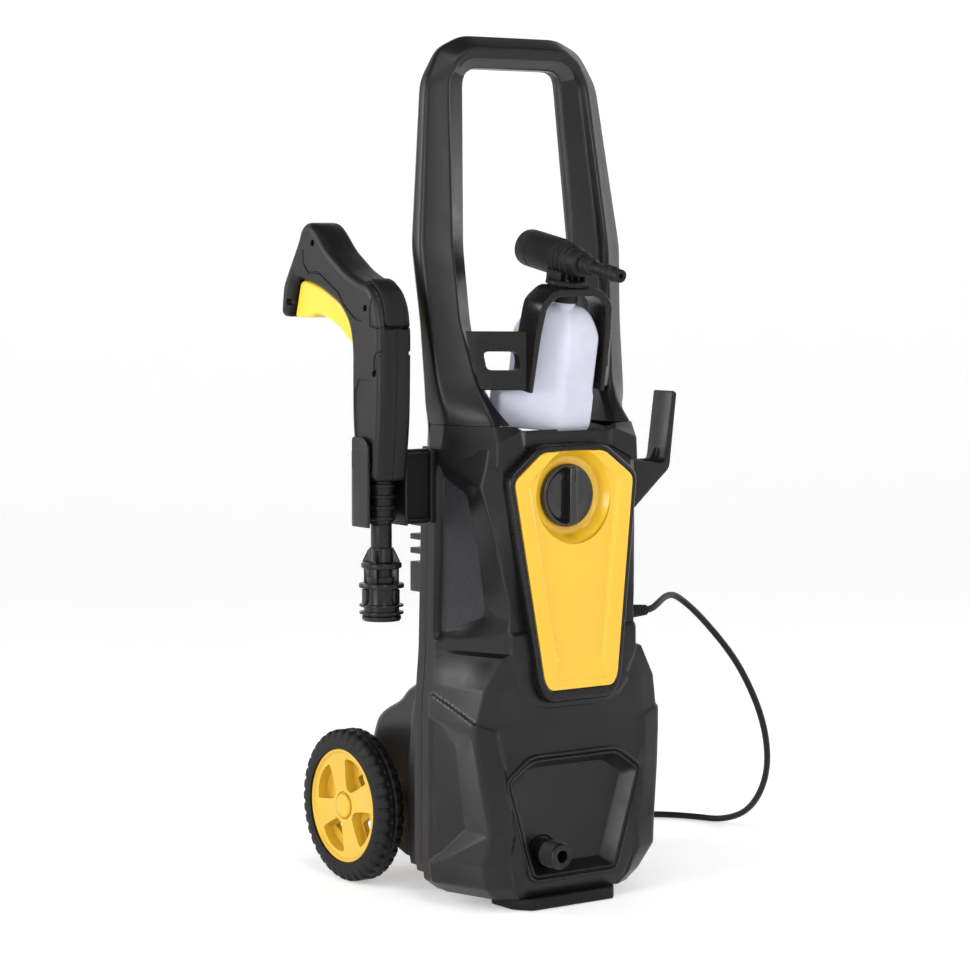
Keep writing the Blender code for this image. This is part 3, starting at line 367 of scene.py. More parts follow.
class Nodes:
    def __init__(self, name):
        self.material = bpy.data.materials.new(name)
        self.material.use_nodes = True
        self.tree = self.material.node_tree
        self.shader = self.tree.nodes["Principled BSDF"]
        self.place = self.add("ShaderNodeTexCoord").outputs["Object"]

    def add(self, kind, **values):
        node = self.tree.nodes.new(kind)
        for key, value in values.items():
            if key in node.inputs:
                node.inputs[key].default_value = value
            else:
                setattr(node, key, value)
        return node

    def link(self, source, target):
        self.tree.links.new(source, target)

    def fix(self, values):                              # plain values of the shader
        for socket, value in values.items():
            self.shader.inputs[socket].default_value = value

    def noise(self, scale, detail=3.0, rough=0.6):
        node = self.add("ShaderNodeTexNoise", Scale=scale, Detail=detail, Roughness=rough)
        self.link(self.place, node.inputs["Vector"])
        return node.outputs["Fac"]

    def ramp(self, source, low, high, first, last):
        node = self.add("ShaderNodeValToRGB")
        node.color_ramp.elements[0].position, node.color_ramp.elements[1].position = low, high
        node.color_ramp.elements[0].color = (*first, 1) if len(first) == 3 else first
        node.color_ramp.elements[1].color = (*last, 1) if len(last) == 3 else last
        self.link(source, node.inputs["Fac"])
        return node.outputs["Color"]

    def span(self, source, low, high):
        node = self.add("ShaderNodeMapRange")
        node.inputs["To Min"].default_value, node.inputs["To Max"].default_value = low, high
        node.inputs["From Min"].default_value, node.inputs["From Max"].default_value = 0.3, 0.7
        self.link(source, node.inputs["Value"])
        return node.outputs["Result"]

    def bump(self, sources, distance=0.0002):           # sources are (height, strength)
        last = None
        for height, strength in sources:
            node = self.add("ShaderNodeBump")
            node.inputs["Strength"].default_value = strength
            node.inputs["Distance"].default_value = distance
            self.link(height, node.inputs["Height"])
            if last:
                self.link(last, node.inputs["Normal"])
            last = node.outputs["Normal"]
        self.link(last, self.shader.inputs["Normal"])


def moulded(name, colour, rough, grain=2600.0, strength=0.10, spread=0.10, coat=0.0, level=0.5):
    look = Nodes(name)
    dark = [c * (1 - spread) for c in colour]
    light = [min(1, c * (1 + spread) + 0.002) for c in colour]
    cloud = look.noise(14.0, 4.0)
    look.link(look.ramp(cloud, 0.3, 0.7, dark, light), look.shader.inputs["Base Color"])
    handled = look.noise(38.0, 5.0, 0.65)
    look.link(look.span(handled, rough - 0.05, rough + 0.07), look.shader.inputs["Roughness"])
    fine = look.noise(grain, 2.0)
    look.bump([(cloud, 0.04), (fine, strength)], 0.00025)
    look.fix({"Specular IOR Level": level})
    if coat:
        look.fix({"Coat Weight": coat, "Coat Roughness": 0.12})
    return look.material


def speckled(name, colour, rough, level=0.3):                     # spark-eroded texture of the side panels
    look = Nodes(name)
    grain = look.noise(900.0, 3.0, 0.7)
    cloud = look.noise(10.0, 3.0)
    look.link(look.ramp(grain, 0.35, 0.68, [c * 0.6 for c in colour], [c * 1.9 for c in colour]),
              look.shader.inputs["Base Color"])
    look.link(look.span(cloud, rough - 0.04, rough + 0.06), look.shader.inputs["Roughness"])
    look.bump([(grain, 0.55)], 0.0003)
    look.fix({"Specular IOR Level": level})
    return look.material


def metalLook(name, colour, rough, grain=350.0):
    look = Nodes(name)
    mapping = look.add("ShaderNodeMapping")
    mapping.inputs["Scale"].default_value = (1.0, 1.0, 14.0)
    look.link(look.place, mapping.inputs["Vector"])
    brushed = look.add("ShaderNodeTexNoise", Scale=grain, Detail=3.0)
    look.link(mapping.outputs["Vector"], brushed.inputs["Vector"])
    look.link(look.ramp(brushed.outputs["Fac"], 0.3, 0.7, [c * 0.8 for c in colour], colour),
              look.shader.inputs["Base Color"])
    look.link(look.span(brushed.outputs["Fac"], rough - 0.08, rough + 0.1), look.shader.inputs["Roughness"])
    look.fix({"Metallic": 1.0})
    look.bump([(brushed.outputs["Fac"], 0.12)], 0.0001)
    return look.material


def milkyLook(name):
    look = Nodes(name)
    cloud = look.noise(22.0, 3.0)
    look.link(look.ramp(cloud, 0.3, 0.7, (0.60, 0.61, 0.72), (0.70, 0.71, 0.82)),
              look.shader.inputs["Base Color"])
    fine = look.noise(1400.0, 2.0)
    look.bump([(fine, 0.08)], 0.0002)
    look.fix({"Roughness": 0.28, "Subsurface Weight": 0.65, "Subsurface Radius": (0.012, 0.012, 0.014),
              "Subsurface Scale": 1.0, "Transmission Weight": 0.12})
    return look.material


housingBlack = moulded("housingBlack", (0.0058, 0.0052, 0.0060), 0.33, 2400.0, 0.13, level=0.30)
rimBlack = moulded("rimBlack", (0.0078, 0.0062, 0.0058), 0.40, 2400.0, 0.16, level=0.26)
bezelBlack = moulded("bezelBlack", (0.0052, 0.0042, 0.0042), 0.28, 2600.0, 0.08, level=0.28)
glossBlack = moulded("glossBlack", (0.0035, 0.0032, 0.0038), 0.16, 3000.0, 0.03, 0.05, 0.35)
sideSpeckle = speckled("sideSpeckle", (0.0150, 0.0140, 0.0165), 0.46, 0.30)
panelYellow = moulded("panelYellow", (0.800, 0.478, 0.022), 0.20, 3000.0, 0.04, 0.03, 0.35)
wheelYellow = moulded("wheelYellow", (0.640, 0.395, 0.026), 0.32, 2600.0, 0.08, 0.05)
triggerYellow = moulded("triggerYellow", (0.860, 0.560, 0.035), 0.28, 2600.0, 0.06, 0.04)
gunBlack = moulded("gunBlack", (0.0048, 0.0046, 0.0052), 0.38, 2000.0, 0.17, level=0.26)
gripBlack = speckled("gripBlack", (0.0060, 0.0056, 0.0062), 0.50, 0.20)
nozzleCharcoal = moulded("nozzleCharcoal", (0.0098, 0.0094, 0.0104), 0.50, 1500.0, 0.20, level=0.18)
# painted shade: near-black, darker than the housing plastic, for the inside of the outlet hole
paintedShadeCavity = moulded("paintedShadeCavity", (0.003, 0.003, 0.0035), 0.60, 1500.0, 0.10, level=0.10)
tyreRubber = speckled("tyreRubber", (0.0042, 0.0040, 0.0042), 0.55, 0.20)
cordRubber = moulded("cordRubber", (0.0050, 0.0050, 0.0056), 0.42, 1800.0, 0.15, level=0.20)
bottleMilky = milkyLook("bottleMilky")
brushedSteel = metalLook("brushedSteel", (0.56, 0.56, 0.57), 0.30)
machinedBrass = metalLook("machinedBrass", (0.66, 0.47, 0.18), 0.28)
castAlloy = metalLook("castAlloy", (0.46, 0.46, 0.47), 0.48, 120.0)
innerPlastic = moulded("innerPlastic", (0.030, 0.030, 0.032), 0.50, 1200.0, 0.25)
print("materials made")


# mains cord: out of the gland, over and down to the floor, and round behind to a tied coil

cordSettings = {"radius": 0.0035, "length": 5.0, "coilAt": (0.200, 0.400),
                "coilRadii": (0.0315, 0.0385, 0.0455, 0.0525), "turns": 15.5, "perTurn": 20,
                "curveSlack": 1.011, "lowest": 0.0038, "layer": 0.0070, "plugRadius": 0.0615,
                "plugHeight": 0.018, "plugRun": 0.004, "stretch": 4.1, "easeFrom": 0.75}


def smoothRoute(points, step):
    pts = [Vector(p) for p in points]
    fine = []
    for a, b, c, d in zip(pts, pts[1:], pts[2:], pts[3:]):
        for i in range(40):
            t = i / 40
            fine.append(0.5 * ((2 * b) + (c - a) * t + (2 * a - 5 * b + 4 * c - d) * t * t
                               + (3 * b - a - 3 * c + d) * t ** 3))
    fine.append(pts[-2])
    lengths = np.cumsum([0.0] + [(b - a).length for a, b in zip(fine, fine[1:])])
    count = max(2, round(lengths[-1] / step))
    table = np.array([tuple(p) for p in fine])
    wanted = np.linspace(0, lengths[-1], count + 1)
    table[:, 2] = np.maximum(table[:, 2], cordSettings["lowest"])
    middle = [tuple(np.interp(s, lengths, table[:, k]) for k in range(3)) for s in wanted]
    return [tuple(pts[0]), *middle, tuple(pts[-1])]


cordLine = smoothRoute([
    (0.1404, 0.042, 0.2755), (0.1480, 0.042, 0.2755), (0.1620, 0.0490, 0.2800), (0.1810, 0.0620, 0.2835),
    (0.2060, 0.0740, 0.2830), (0.2520, 0.0820, 0.2520), (0.3030, 0.0840, 0.1985), (0.3470, 0.0960, 0.1330),
    (0.3780, 0.1250, 0.0720), (0.3930, 0.1700, 0.0240), (0.3900, 0.2200, 0.0040), (0.3640, 0.2720, 0.0038),
    (0.3200, 0.3080, 0.0038), (0.2800, 0.3340, 0.0038), (0.2580, 0.3640, 0.0038), (0.2525, 0.3860, 0.0038),
    (0.2525, 0.4000, 0.0038)], 0.016)


def coilTurns(grow):                           # layered turns that end by running straight into the plug
    s = cordSettings
    lanes = len(s["coilRadii"])
    steps = round(s["turns"] * s["perTurn"])
    points = []
    for k in range(1, steps + 1):
        turn = k / s["perTurn"]
        layer, within = divmod(turn, lanes)
        lane = s["coilRadii"][::-1] if int(layer) % 2 == 0 else s["coilRadii"]
        index, share = int(within), within - int(within)
        after = lane[min(index + 1, lanes - 1)]
        ease = max(0.0, (share - s["easeFrom"]) / (1 - s["easeFrom"]))
        radius = (lane[index] + (after - lane[index]) * ease) * grow
        z = s["lowest"] + s["layer"] * (layer + (ease if index == lanes - 1 else 0.0))
        leave = float(smoothStep(np.array(turn), s["turns"] - 0.5, s["turns"]))
        radius += (s["plugRadius"] - radius) * leave
        z += (s["plugHeight"] - z) * leave
        angle = turn * 2 * math.pi
        points.append((s["coilAt"][0] + radius * math.cos(angle), s["coilAt"][1] + radius * math.sin(angle),
                       z))
    return points


def pathLength(points):
    return sum((Vector(b) - Vector(a)).length for a, b in zip(points, points[1:]))


grow = 1.0
for _ in range(6):                             # turns are widened a little until the length is right
    target = cordSettings["length"] * cordSettings["curveSlack"]
    grow *= 1 + (target - pathLength(cordLine + coilTurns(grow))) / cordSettings["stretch"]
print("coil widened by", round(grow, 4))
cordLine += coilTurns(grow)
endX, endY, endZ = cordLine[-1]
cordLine.append((endX, endY - cordSettings["plugRun"], endZ))
curve = bpy.data.curves.new("powerCord", "CURVE")
curve.dimensions = "3D"
curve.bevel_depth = cordSettings["radius"]
curve.bevel_resolution = 3
curve.use_fill_caps = True
spline = curve.splines.new("NURBS")
spline.points.add(len(cordLine) - 1)
for point, at in zip(spline.points, cordLine):
    point.co = (*at, 1.0)
spline.use_endpoint_u = True
spline.order_u = 4
spline.resolution_u = 4
powerCord = bpy.data.objects.new("powerCord", curve)
scene.collection.objects.link(powerCord)
curve.materials.append(cordRubber)
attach(powerCord, "body")
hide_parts("power_cord", "cord_coil")
print("cord laid, end at", [round(v, 4) for v in cordLine[-1]], "length", round(pathLength(cordLine), 3))


# front housing: a half ring of columns at each height, folded at the crest of the side

housingSettings = {
    "rows": 236, "columns": (5, 52, 12, 10, 14), "low": 0.0122, "high": 0.4498, "seam": 0.0747,
    "rimFold": 0.060, "ledge": (0.2500, 0.2535), "upperDepth": 0.0072, "lowerDepth": 0.0084,
    "chinRise": 0.0034, "frameRise": 0.0024}
# height, rim x, crest of the side (x, y), front corner (x, y), middle (x, y)
lowerLevels = mm([(12.2, 96, (80, 0), (58, -12.5), (45, -13)),
                  (24, 112.5, (92, -4), (66, -18), (45, -18.3)),
                  (50, 115, (103.5, -14.5), (74, -21.8), (45, -21.8)),
                  (80, 115, (98.8, -21.2), (79, -22.2), (45, -22.2)),
                  (105, 115, (103, -18.2), (83.5, -22.2), (45, -22.2)),
                  (131, 115, (107, -15.5), (85, -21), (45, -21.2)),
                  (165, 115, (111, -12), (88.5, -16.5), (45, -18)),
                  (186, 115, (111.5, -11.5), (88.5, -15), (45, -17)),
                  (219, 112.5, (104.5, -15), (84, -19), (48, -18.5)),
                  (246, 110, (87.7, -19.5), (72, -20), (50, -20)),
                  (250, 109.9, (86, -19), (70, -19.5), (50, -19.8))])
upperLevels = mm([(253.5, 109.8, (77, -19.2), (55, -19.5), (52, -19.8)),
                  (286, 109.4, (75.7, -19), (60, -17.8), (55, -17.8)),
                  (301.5, 109.1, (76.9, -18.2), (62.5, -16.9), (58, -16.9)),
                  (366.5, 107.5, (85.9, -7.3), (71.6, -13), (66, -13)),
                  (414.4, 106.3, (94.5, 4.5), (78, -10), (74, -10)),
                  (430, 105.7, (91.5, 1), (79, -9.2), (72, -9.2)),
                  (449.8, 105, (89, -1), (79, -7.8), (60, -8))])
levels = lowerLevels + upperLevels
levelHeights = [v[0] for v in levels]


def levelAt(z):
    s = housingSettings
    rim, crestX, crestY, cornerX, cornerY, middleX, middleY = readLevels(z, levels)
    return [(rim, s["seam"]), (rim, s["rimFold"]), (crestX, crestY), (cornerX, cornerY), (middleX, middleY),
            (0.0, middleY)]


upperOuter = mm([(200, 437), (55, 435.8), (4, 415), (0.8, 410), (0.8, 285), (4, 277.2), (11, 271.2),
                 (48, 265.5), (92, 260.3), (200, 259)])
upperInner = mm([(200, 424), (55, 421.8), (31, 408.3), (27.5, 403), (29, 353.6), (32.5, 296.4),
                 (34.5, 288), (39.5, 284.9), (64, 274.6), (86, 268.4), (200, 266)])
lowerOuter = mm([(200, 190), (71, 187.5), (6, 174.5), (1.2, 166.5), (1.2, 86), (5, 78), (56.7, 49),
                 (100, 28), (200, 10)])
lowerInner = mm([(200, 187), (75, 184.8), (39, 162.5), (40, 80.6), (64.6, 52.6), (105, 30), (200, 12)])
frameOutline = mm([(200, 215), (75, 211.5), (0, 188.5), (-24, 180), (-25.5, 130), (-26, 20), (-24, -20),
                   (200, -20)])


chinOutline = mm([(-10, 196), (30, 196), (46, 199.5), (59, 206), (69, 218), (68, 226), (74, 238),
                  (79, 250), (79, 275), (-10, 275)])


def frontHousingShell():
    s = housingSettings
    fine = np.linspace(s["low"], s["high"], s["rows"])
    ledge = [0.2500, 0.2509, 0.2518, 0.2527, 0.2535]       # rows that keep the ledge crisp
    heights = np.unique(np.concatenate([fine, ledge]))
    grid = []
    for z in heights:
        ctrl = [np.array(p) for p in levelAt(z)]
        half = []
        for a, b, n in zip(ctrl, ctrl[1:], s["columns"]):
            half += [a + (b - a) * k / n for k in range(n)]
        half.append(ctrl[-1])
        grid.append(half)
    grid = np.array(grid)                                  # rows, columns, xy
    for _ in range(2):                                     # soften the folds
        inner = grid[:, 2:-1]
        grid[:, 2:-1] = 0.5 * inner + 0.25 * (grid[:, 1:-2] + grid[:, 3:])
    steps = np.linalg.norm(np.diff(grid, axis=1), axis=2)
    along = np.concatenate([np.zeros((len(heights), 1)), np.cumsum(steps, axis=1)], axis=1)
    crest = s["columns"][0] + s["columns"][1]
    side = along[:, crest:crest + 1] - along               # distance from the crest, towards the rim
    zz = np.repeat(heights[:, None], grid.shape[1], 1)
    rimFade = smoothStep(grid[:, :, 1], 0.0625, 0.0585)
    upper = recessShare(side, zz, upperOuter, upperInner) * (zz > s["ledge"][1])
    lower = recessShare(side, zz, lowerOuter, lowerInner) * (zz < s["ledge"][0])
    frameMask = smoothStep(-polyDistance(side, zz, frameOutline), 0.0, 0.0022) * (zz < s["ledge"][0])
    shallower = 1 - 0.55 * np.clip(side / 0.075, 0, 1) ** 2     # the lower recess runs out towards the rim
    depth = upper * s["upperDepth"] + lower * s["lowerDepth"] * shallower
    depth = depth * rimFade - frameMask * s["frameRise"] * rimFade
    tangent = np.gradient(grid, axis=1)
    normal = np.stack([-tangent[:, :, 1], tangent[:, :, 0]], axis=2)
    normal /= np.maximum(np.linalg.norm(normal, axis=2, keepdims=True), 1e-9)
    outwards = np.where(normal[:, crest // 2:crest // 2 + 1, 0:1] > 0, 1.0, -1.0)
    moved = grid - normal * outwards * depth[:, :, None]
    moved[:, -1, 0] = 0.0
    chin = smoothStep(-polyDistance(np.abs(moved[:, :, 0]), zz, chinOutline), 0.0, 0.0035)
    moved[:, :, 1] -= s["chinRise"] * chin * (moved[:, :, 1] < 0.004)
    rings = []
    for row, z in zip(moved, heights):
        rings.append([(x, y, z) for x, y in row] + [(-x, y, z) for x, y in row[::-1][1:]])
    return skin("frontHousingShell", rings, 40)


# the textured floor of the recesses has its own finish
def paintSides(piece):
    for look in (housingBlack, sideSpeckle, rimBlack):
        piece.data.materials.append(look)
    centres = np.zeros(len(piece.data.polygons) * 3)
    piece.data.polygons.foreach_get("center", centres)
    centres = centres.reshape(-1, 3)
    index = np.zeros(len(centres), int)
    crestX = np.interp(centres[:, 2], levelHeights, [v[2][0] for v in levels])
    crestY = np.interp(centres[:, 2], levelHeights, [v[2][1] for v in levels])
    side = np.hypot(np.abs(centres[:, 0]) - crestX, centres[:, 1] - crestY)
    inPanel = (polyDistance(side, centres[:, 2], upperInner) < -0.0005) & (centres[:, 2] > 0.26)
    index[inPanel & (centres[:, 1] > -0.01) & (centres[:, 1] < 0.0595)] = 1
    index[centres[:, 1] > 0.0600] = 2
    piece.data.polygons.foreach_set("material_index", index.astype(np.int32))


panelSettings = {"topZ": 0.447, "topY": -0.020, "lean": 0.0606, "knobZ": 0.403, "knobR": 0.031,
                 "backY": 0.0114}
shell = frontHousingShell()
trayHalf = [(0.053, 0.028), (0.085, 0.131), (0.053, 0.153)]
windowOutline = offsetOutline(roundCorners(mirrorHalf(trayHalf), 0.010, 6), 0.0004)
combine(shell, [slab("windowCut", windowOutline, -0.05, 0.010, "Y", 0.0001, 1),
                lathe("switchCut", rod(0.0495, -0.05, 0.006), (0, 0, panelSettings["knobZ"]), "Y", 48)])
for polygon in shell.data.polygons:
    polygon.use_smooth = True
shell.data.materials.clear()
paintSides(shell)
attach(shell, "body")
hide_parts("front_housing")
print("front housing made")


# front panel: bezel with a rounded bulge, yellow panel with a stepped field and a dish for the switch

def panelY(z, behind=0.0):
    return panelSettings["topY"] - (panelSettings["topZ"] - z) * panelSettings["lean"] + behind


bezelHalf = mm([(40, 203.5), (50, 220), (80, 424), (40, 454.5)])
yellowHalf = mm([(38.5, 216), (45, 226), (73, 420), (37.5, 447)])
fieldHalf = mm([(27, 245), (29, 250), (56, 418), (29, 437)])
bezelRadii = [0.018, 0.018, 0.010, 0.010, 0.010, 0.010, 0.018, 0.018]
yellowRadii = [0.012, 0.012, 0.007, 0.007, 0.007, 0.007, 0.012, 0.012]


def leanRing(outline, inset, behind):
    moved = offsetOutline(outline, inset) if abs(inset) > 1e-7 else outline
    return [(p[0], panelY(p[1], behind), p[1]) for p in moved]


def bezel():
    outer = roundCorners(mirrorHalf(bezelHalf), bezelRadii, 6)
    inner = roundCorners(mirrorHalf(yellowHalf), yellowRadii, 6)
    rings = [leanRing(inner, 0.0, 0.0090), leanRing(inner, 0.0, 0.0012), leanRing(inner, -0.0010, 0.0002),
             leanRing(inner, -0.0024, 0.0000)]
    for share, behind in ((0.55, 0.0004), (0.72, 0.0012), (0.86, 0.0030), (0.95, 0.0056), (1.0, 0.0090),
                          (1.0, panelSettings["backY"])):
        rings.append([(x, panelY(z, behind), z) for x, z in blend(inner, outer, share)])
    return skin("bezelRim", rings, 40, closedLoop=True)


place(bezel(), "body", "trim_black", bezelBlack, "panel_bezel")


def yellowPanel():
    outer = roundCorners(mirrorHalf(yellowHalf), yellowRadii, 6)
    field = roundCorners(mirrorHalf(fieldHalf), yellowRadii, 6)
    low = [(x * 0.965, z + (0.4 - z) * 0.012) for x, z in (tuple(p) for p in field)]
    rings = [leanRing(outer, 0.0004, 0.0040), leanRing(outer, 0.0004, 0.0012),
             leanRing(outer, 0.0007, 0.0004), leanRing(outer, 0.0014, 0.0),
             leanRing(outer, 0.0024, -0.0001)]
    for share, behind in ((0.90, -0.0001), (0.965, 0.0001), (1.0, 0.0006)):
        rings.append([(x, panelY(z, behind), z) for x, z in blend(outer, field, share)])
    rings.append([(x, panelY(z, 0.0028), z) for x, z in low])
    rings.append([(x * 0.985, panelY(z, 0.0031), z) for x, z in low])
    rings.append([(x * 0.97, panelY(z, 0.0031), z + (0.33 - z) * 0.01) for x, z in low])
    panel = skin("yellowPanel", rings, 38)
    knobAt = (0, 0, panelSettings["knobZ"])
    combine(panel, [lathe("cup", rod(0.0490, -0.0185, -0.0012), knobAt, "Y", 72)], "UNION")
    dishProfile = mm([(0, -34), (47.8, -34), (47, -21.5), (38.5, -5.8), (0, -5)])
    dish = lathe("dish", softProfile(dishProfile, 0.003, 4), knobAt, "Y", 72)
    mouthLow, mouthHigh = 0.2225, 0.2492
    mouthOutline = [(-0.0335, mouthLow), (0.0335, mouthLow), (0.0262, mouthHigh), (-0.0262, mouthHigh)]
    mouth = roundCorners(mouthOutline, 0.004, 5)

    def scoopRing(inset, top, bottom):                     # deeper towards the top
        moved = offsetOutline(mouth, inset) if inset else mouth
        slope = (top - bottom) / (mouthHigh - mouthLow)
        return [(p[0], panelY(p[1], bottom + slope * (p[1] - mouthLow)), p[1]) for p in moved]

    scoop = skin("scoop", [scoopRing(0, -0.010, -0.010), scoopRing(0, 0.0004, -0.0004),
                           scoopRing(0.0012, 0.0030, -0.0002), scoopRing(0.0030, 0.0036, 0.0)], 40)
    stem = lathe("stem", rod(0.0046, -0.02, 0.005), knobAt, "Y", 24)
    return combine(panel, [dish, scoop, stem])


place(yellowPanel(), "body", "panel_yellow", panelYellow, "front_panel")


def switchKnob():
    r, at = panelSettings["knobR"], (0, 0, panelSettings["knobZ"])
    baseProfile = [(0, -0.0122), (0.018, -0.0118), (0.0250, -0.0108), (r - 0.0030, -0.0120),
                   (r - 0.0006, -0.0112), (r, -0.0096), (r, -0.0056), (0, -0.0056)]
    base = lathe("knobBase", softProfile(baseProfile, 0.0008, 3), at, "Y", 96)
    ribOutline = mm([(-5, -28.5), (5, -28.5), (4.2, 28.5), (-4.2, 28.5)])
    rib = slab("knobRib", roundCorners(ribOutline, 0.003, 4), -0.0212, -0.0080, "Y", 0.0022, 4)
    rib.data.transform(Matrix.Translation((0, 0, at[2])))
    combine(base, [rib], "UNION")
    mark = box("mark", (-0.0008, 0.0008), (-0.0220, -0.0207), (at[2] + 0.014, at[2] + 0.027), 0.0003)
    stem = lathe("stem", rod(0.0038, -0.0060, 0.0004), at, "Y", 24)
    return combine(combine(base, [mark]), [stem], "UNION")


place(switchKnob(), "switch", "trim_black", glossBlack, "switch_knob")
print("front panel made")


# outlet tray: two beads, sloped walls and the threaded stub

outletSettings = {"x": -0.030, "z": 0.055, "centre": 0.092}
outletAt = (outletSettings["x"], 0, outletSettings["z"])
# inset and y, then y and scale
trayBeads = mm([(-0.6, -15), (-0.6, -21.2), (0.2, -22.6), (1.2, -23), (2.4, -22.6), (3, -21.2),
                (3.6, -20.8), (4.2, -21.8), (5.2, -22.6), (6.6, -22.2), (7.8, -20.4), (8.6, -19)])
trayFloor = ((-0.0100, 0.900), (-0.0088, 0.885), (-0.0085, 0.870))


def outletTray():
    centre = outletSettings["centre"]
    outline = roundCorners(mirrorHalf(trayHalf), 0.010, 6)

    def ring(inset, y, shrink=1.0):
        moved = offsetOutline(outline, inset) if abs(inset) > 1e-7 else outline
        return [(p[0] * shrink, y, centre + (p[1] - centre) * shrink) for p in moved]

    rings = [ring(inset, y) for inset, y in trayBeads]
    rings += [ring(trayBeads[-1][0], y, shrink) for y, shrink in trayFloor]
    tray = skin("outletTray", rings, 40, capStart=False)
    return combine(tray, [lathe("hole", rod(0.0168, -0.03, 0.01), outletAt, "Y", 48)])


place(outletTray(), "body", "housing_black", housingBlack, "outlet_panel")
thread = [(0.0133 - 0.0011 * (k % 2), -0.0382 + 0.0009 * k) for k in range(18)]
stubEnd = mm([(6.2, -41.5), (6.8, -41.8), (11.2, -41.8), (12.2, -40.6), (12.6, -38.8)])
stubRoot = mm([(13.4, -21.5), (13.4, -12), (11.5, -11.8), (11.5, 29), (0.2, 29), (0.2, 0), (6.2, 0)])
stub = lathe("outletStub", stubEnd + thread + stubRoot, outletAt, "Y", 72)
place(stub, "body", "trim_black", housingBlack, "outlet_fitting")
# the well that lines the outlet hole takes the near-black painted shade, darker than the housing plastic
wellProfile = mm([(16.6, -9.8), (15, -9), (14.2, 6), (12.5, 8), (16.6, 8)])
well = lathe("outletWell", softProfile(wellProfile, 0.0006, 2), outletAt, "Y", 48)
place(well, "body", "housing_black", paintedShadeCavity)
print("outlet made")


# handle: a front cover and a rear frame, swept from the left foot over the grip to the right foot

handleSettings = {"gap": 0.0004, "depth": 0.0085, "barSplit": 0.0890, "step": 0.005, "corner": 4,
                  "seat": 0.0030, "grip": 0.812, "radii": (0.0004, 0.0050, 0.0040, 0.0022, 0.0022, 0.0004)}
# height, split y, outer front, inner front, step (x, y each), flange x and y
armStations = mm([(472.4, 74.6, (105, 50), (83.5, -3), (64, -3), (62, 8)),
                  (490, 70, (111.5, 43), (81, 12), (71.5, 13), (67, 20)),
                  (512, 67, (114.8, 47), (83, 26), (78, 31), (70, 36)),
                  (572, 69, (118.5, 57), (91.5, 40), (88, 50), (70, 55)),
                  (645, 76.5, (123, 64), (94, 48), (92, 61), (68, 69)),
                  (805, 89, (104.5, 80.5), (84, 69), (80, 79), (59.5, 82))])
# shoulder and end of the grip: (x, z, y) outer, front edge, step, inner edge
gripCorners = mm([((86, 837, 85), (74, 826, 68.5), (66, 820, 76), (57, 813, 81)),
                  ((58, 850, 86), (58, 838, 68), (54, 826, 74), (49, 818, 80))])


def handleSections():
    s = handleSettings
    right = []
    for z, split, outer, inner, step, flange in armStations:
        right.append([(outer[0] + 0.0005, split, z), (outer[0], outer[1], z), (inner[0], inner[1], z),
                      (step[0], step[1], z), (flange[0], flange[1], z), (flange[0], split, z)])
    for outer, front, step, inner in gripCorners:
        section = [(outer[0], s["barSplit"], outer[1])]
        section += [(x, y, z) for x, z, y in (outer, front, step, inner)]
        right.append(section + [(inner[0], s["barSplit"], inner[1])])
    left = [[(-x, y, z) for x, y, z in section] for section in right]
    return np.array(left + right[::-1])


def sweepSections(sections, step, rounds=3):           # finer stations, folds softened along the sweep
    fine = []
    for a, b in zip(sections, sections[1:]):
        count = max(1, int(round(np.max(np.linalg.norm(b - a, axis=1)) / step)))
        for k in range(count):
            fine.append(a + (b - a) * k / count)
    fine.append(sections[-1])
    fine = np.array(fine)
    for _ in range(rounds):
        fine[1:-1] = 0.5 * fine[1:-1] + 0.25 * (fine[:-2] + fine[2:])
    return fine


def handleCover():
    s = handleSettings
    sections = sweepSections(handleSections(), s["step"])
    rings = [roundCorners(section, s["radii"], s["corner"]) for section in sections]
    cover = skin("handleCover", rings, 35)
    cover.data.materials.append(housingBlack)
    cover.data.materials.append(glossBlack)
    perCorner = s["corner"] + 1
    low, high = 3 * perCorner, 5 * perCorner - 1        # from the step to the inner flange
    columns = {tuple(round(v, 5) for v in p): i for ring in rings for i, p in enumerate(ring)}
    for polygon in cover.data.polygons:                 # the inside of the grip is polished
        corners = [cover.data.vertices[i].co for i in polygon.vertices]
        found = [columns.get(tuple(round(v, 5) for v in p), -1) for p in corners]
        if len(found) == 4 and low <= min(found) and max(found) <= high and corners[0].z > s["grip"]:
            polygon.material_index = 1
    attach(cover, "body")
    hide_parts("handle_front_cover")


def handleFrame():
    s = handleSettings
    rings = []
    for section in handleSections():
        outer, inner = section[0], section[5]
        side = 1 if outer[0] > 0 else -1
        rings.append([(outer[0], outer[1] + s["gap"], outer[2]), (inner[0], inner[1] + s["gap"], inner[2]),
                      (inner[0] + side * 0.002, outer[1] + s["depth"], inner[2]),
                      (outer[0] - side * 0.004, outer[1] + s["depth"], outer[2])])
    for end, index in ((-1, 0), (1, len(rings) + 1)):
        foot = [(end * 0.1045, 0.0754, 0.4506), (end * 0.0660, 0.0754, 0.4506),
                (end * 0.0680, 0.0860, 0.4506), (end * 0.1000, 0.0870, 0.4506)]
        rings.insert(index, foot)
    fine = sweepSections(np.array(rings), s["step"])
    soft = [roundCorners(r, (0.0004, 0.0004, 0.0022, 0.0030), 3) for r in fine]
    frameBack = skin("handleFrame", soft, 35)
    cuts = []
    for x, z in screwPlaces:
        seat = seatAt(z)
        seatProfile = [(0, seat), (0.0042, seat), (0.0046, seat + 0.02), (0, seat + 0.02)]
        cuts.append(lathe("seat", seatProfile, (x, 0, z), "Y", 32))
    place(combine(frameBack, cuts), "body", "housing_black", housingBlack, "handle_rear_frame")


screwPlaces = mm([(-104, 560), (104, 560), (-101, 720), (101, 720)])


def seatAt(z):                                          # where the head of a screw sits
    s = handleSettings
    return readLevels(z, armStations)[0] + s["depth"] - s["seat"]


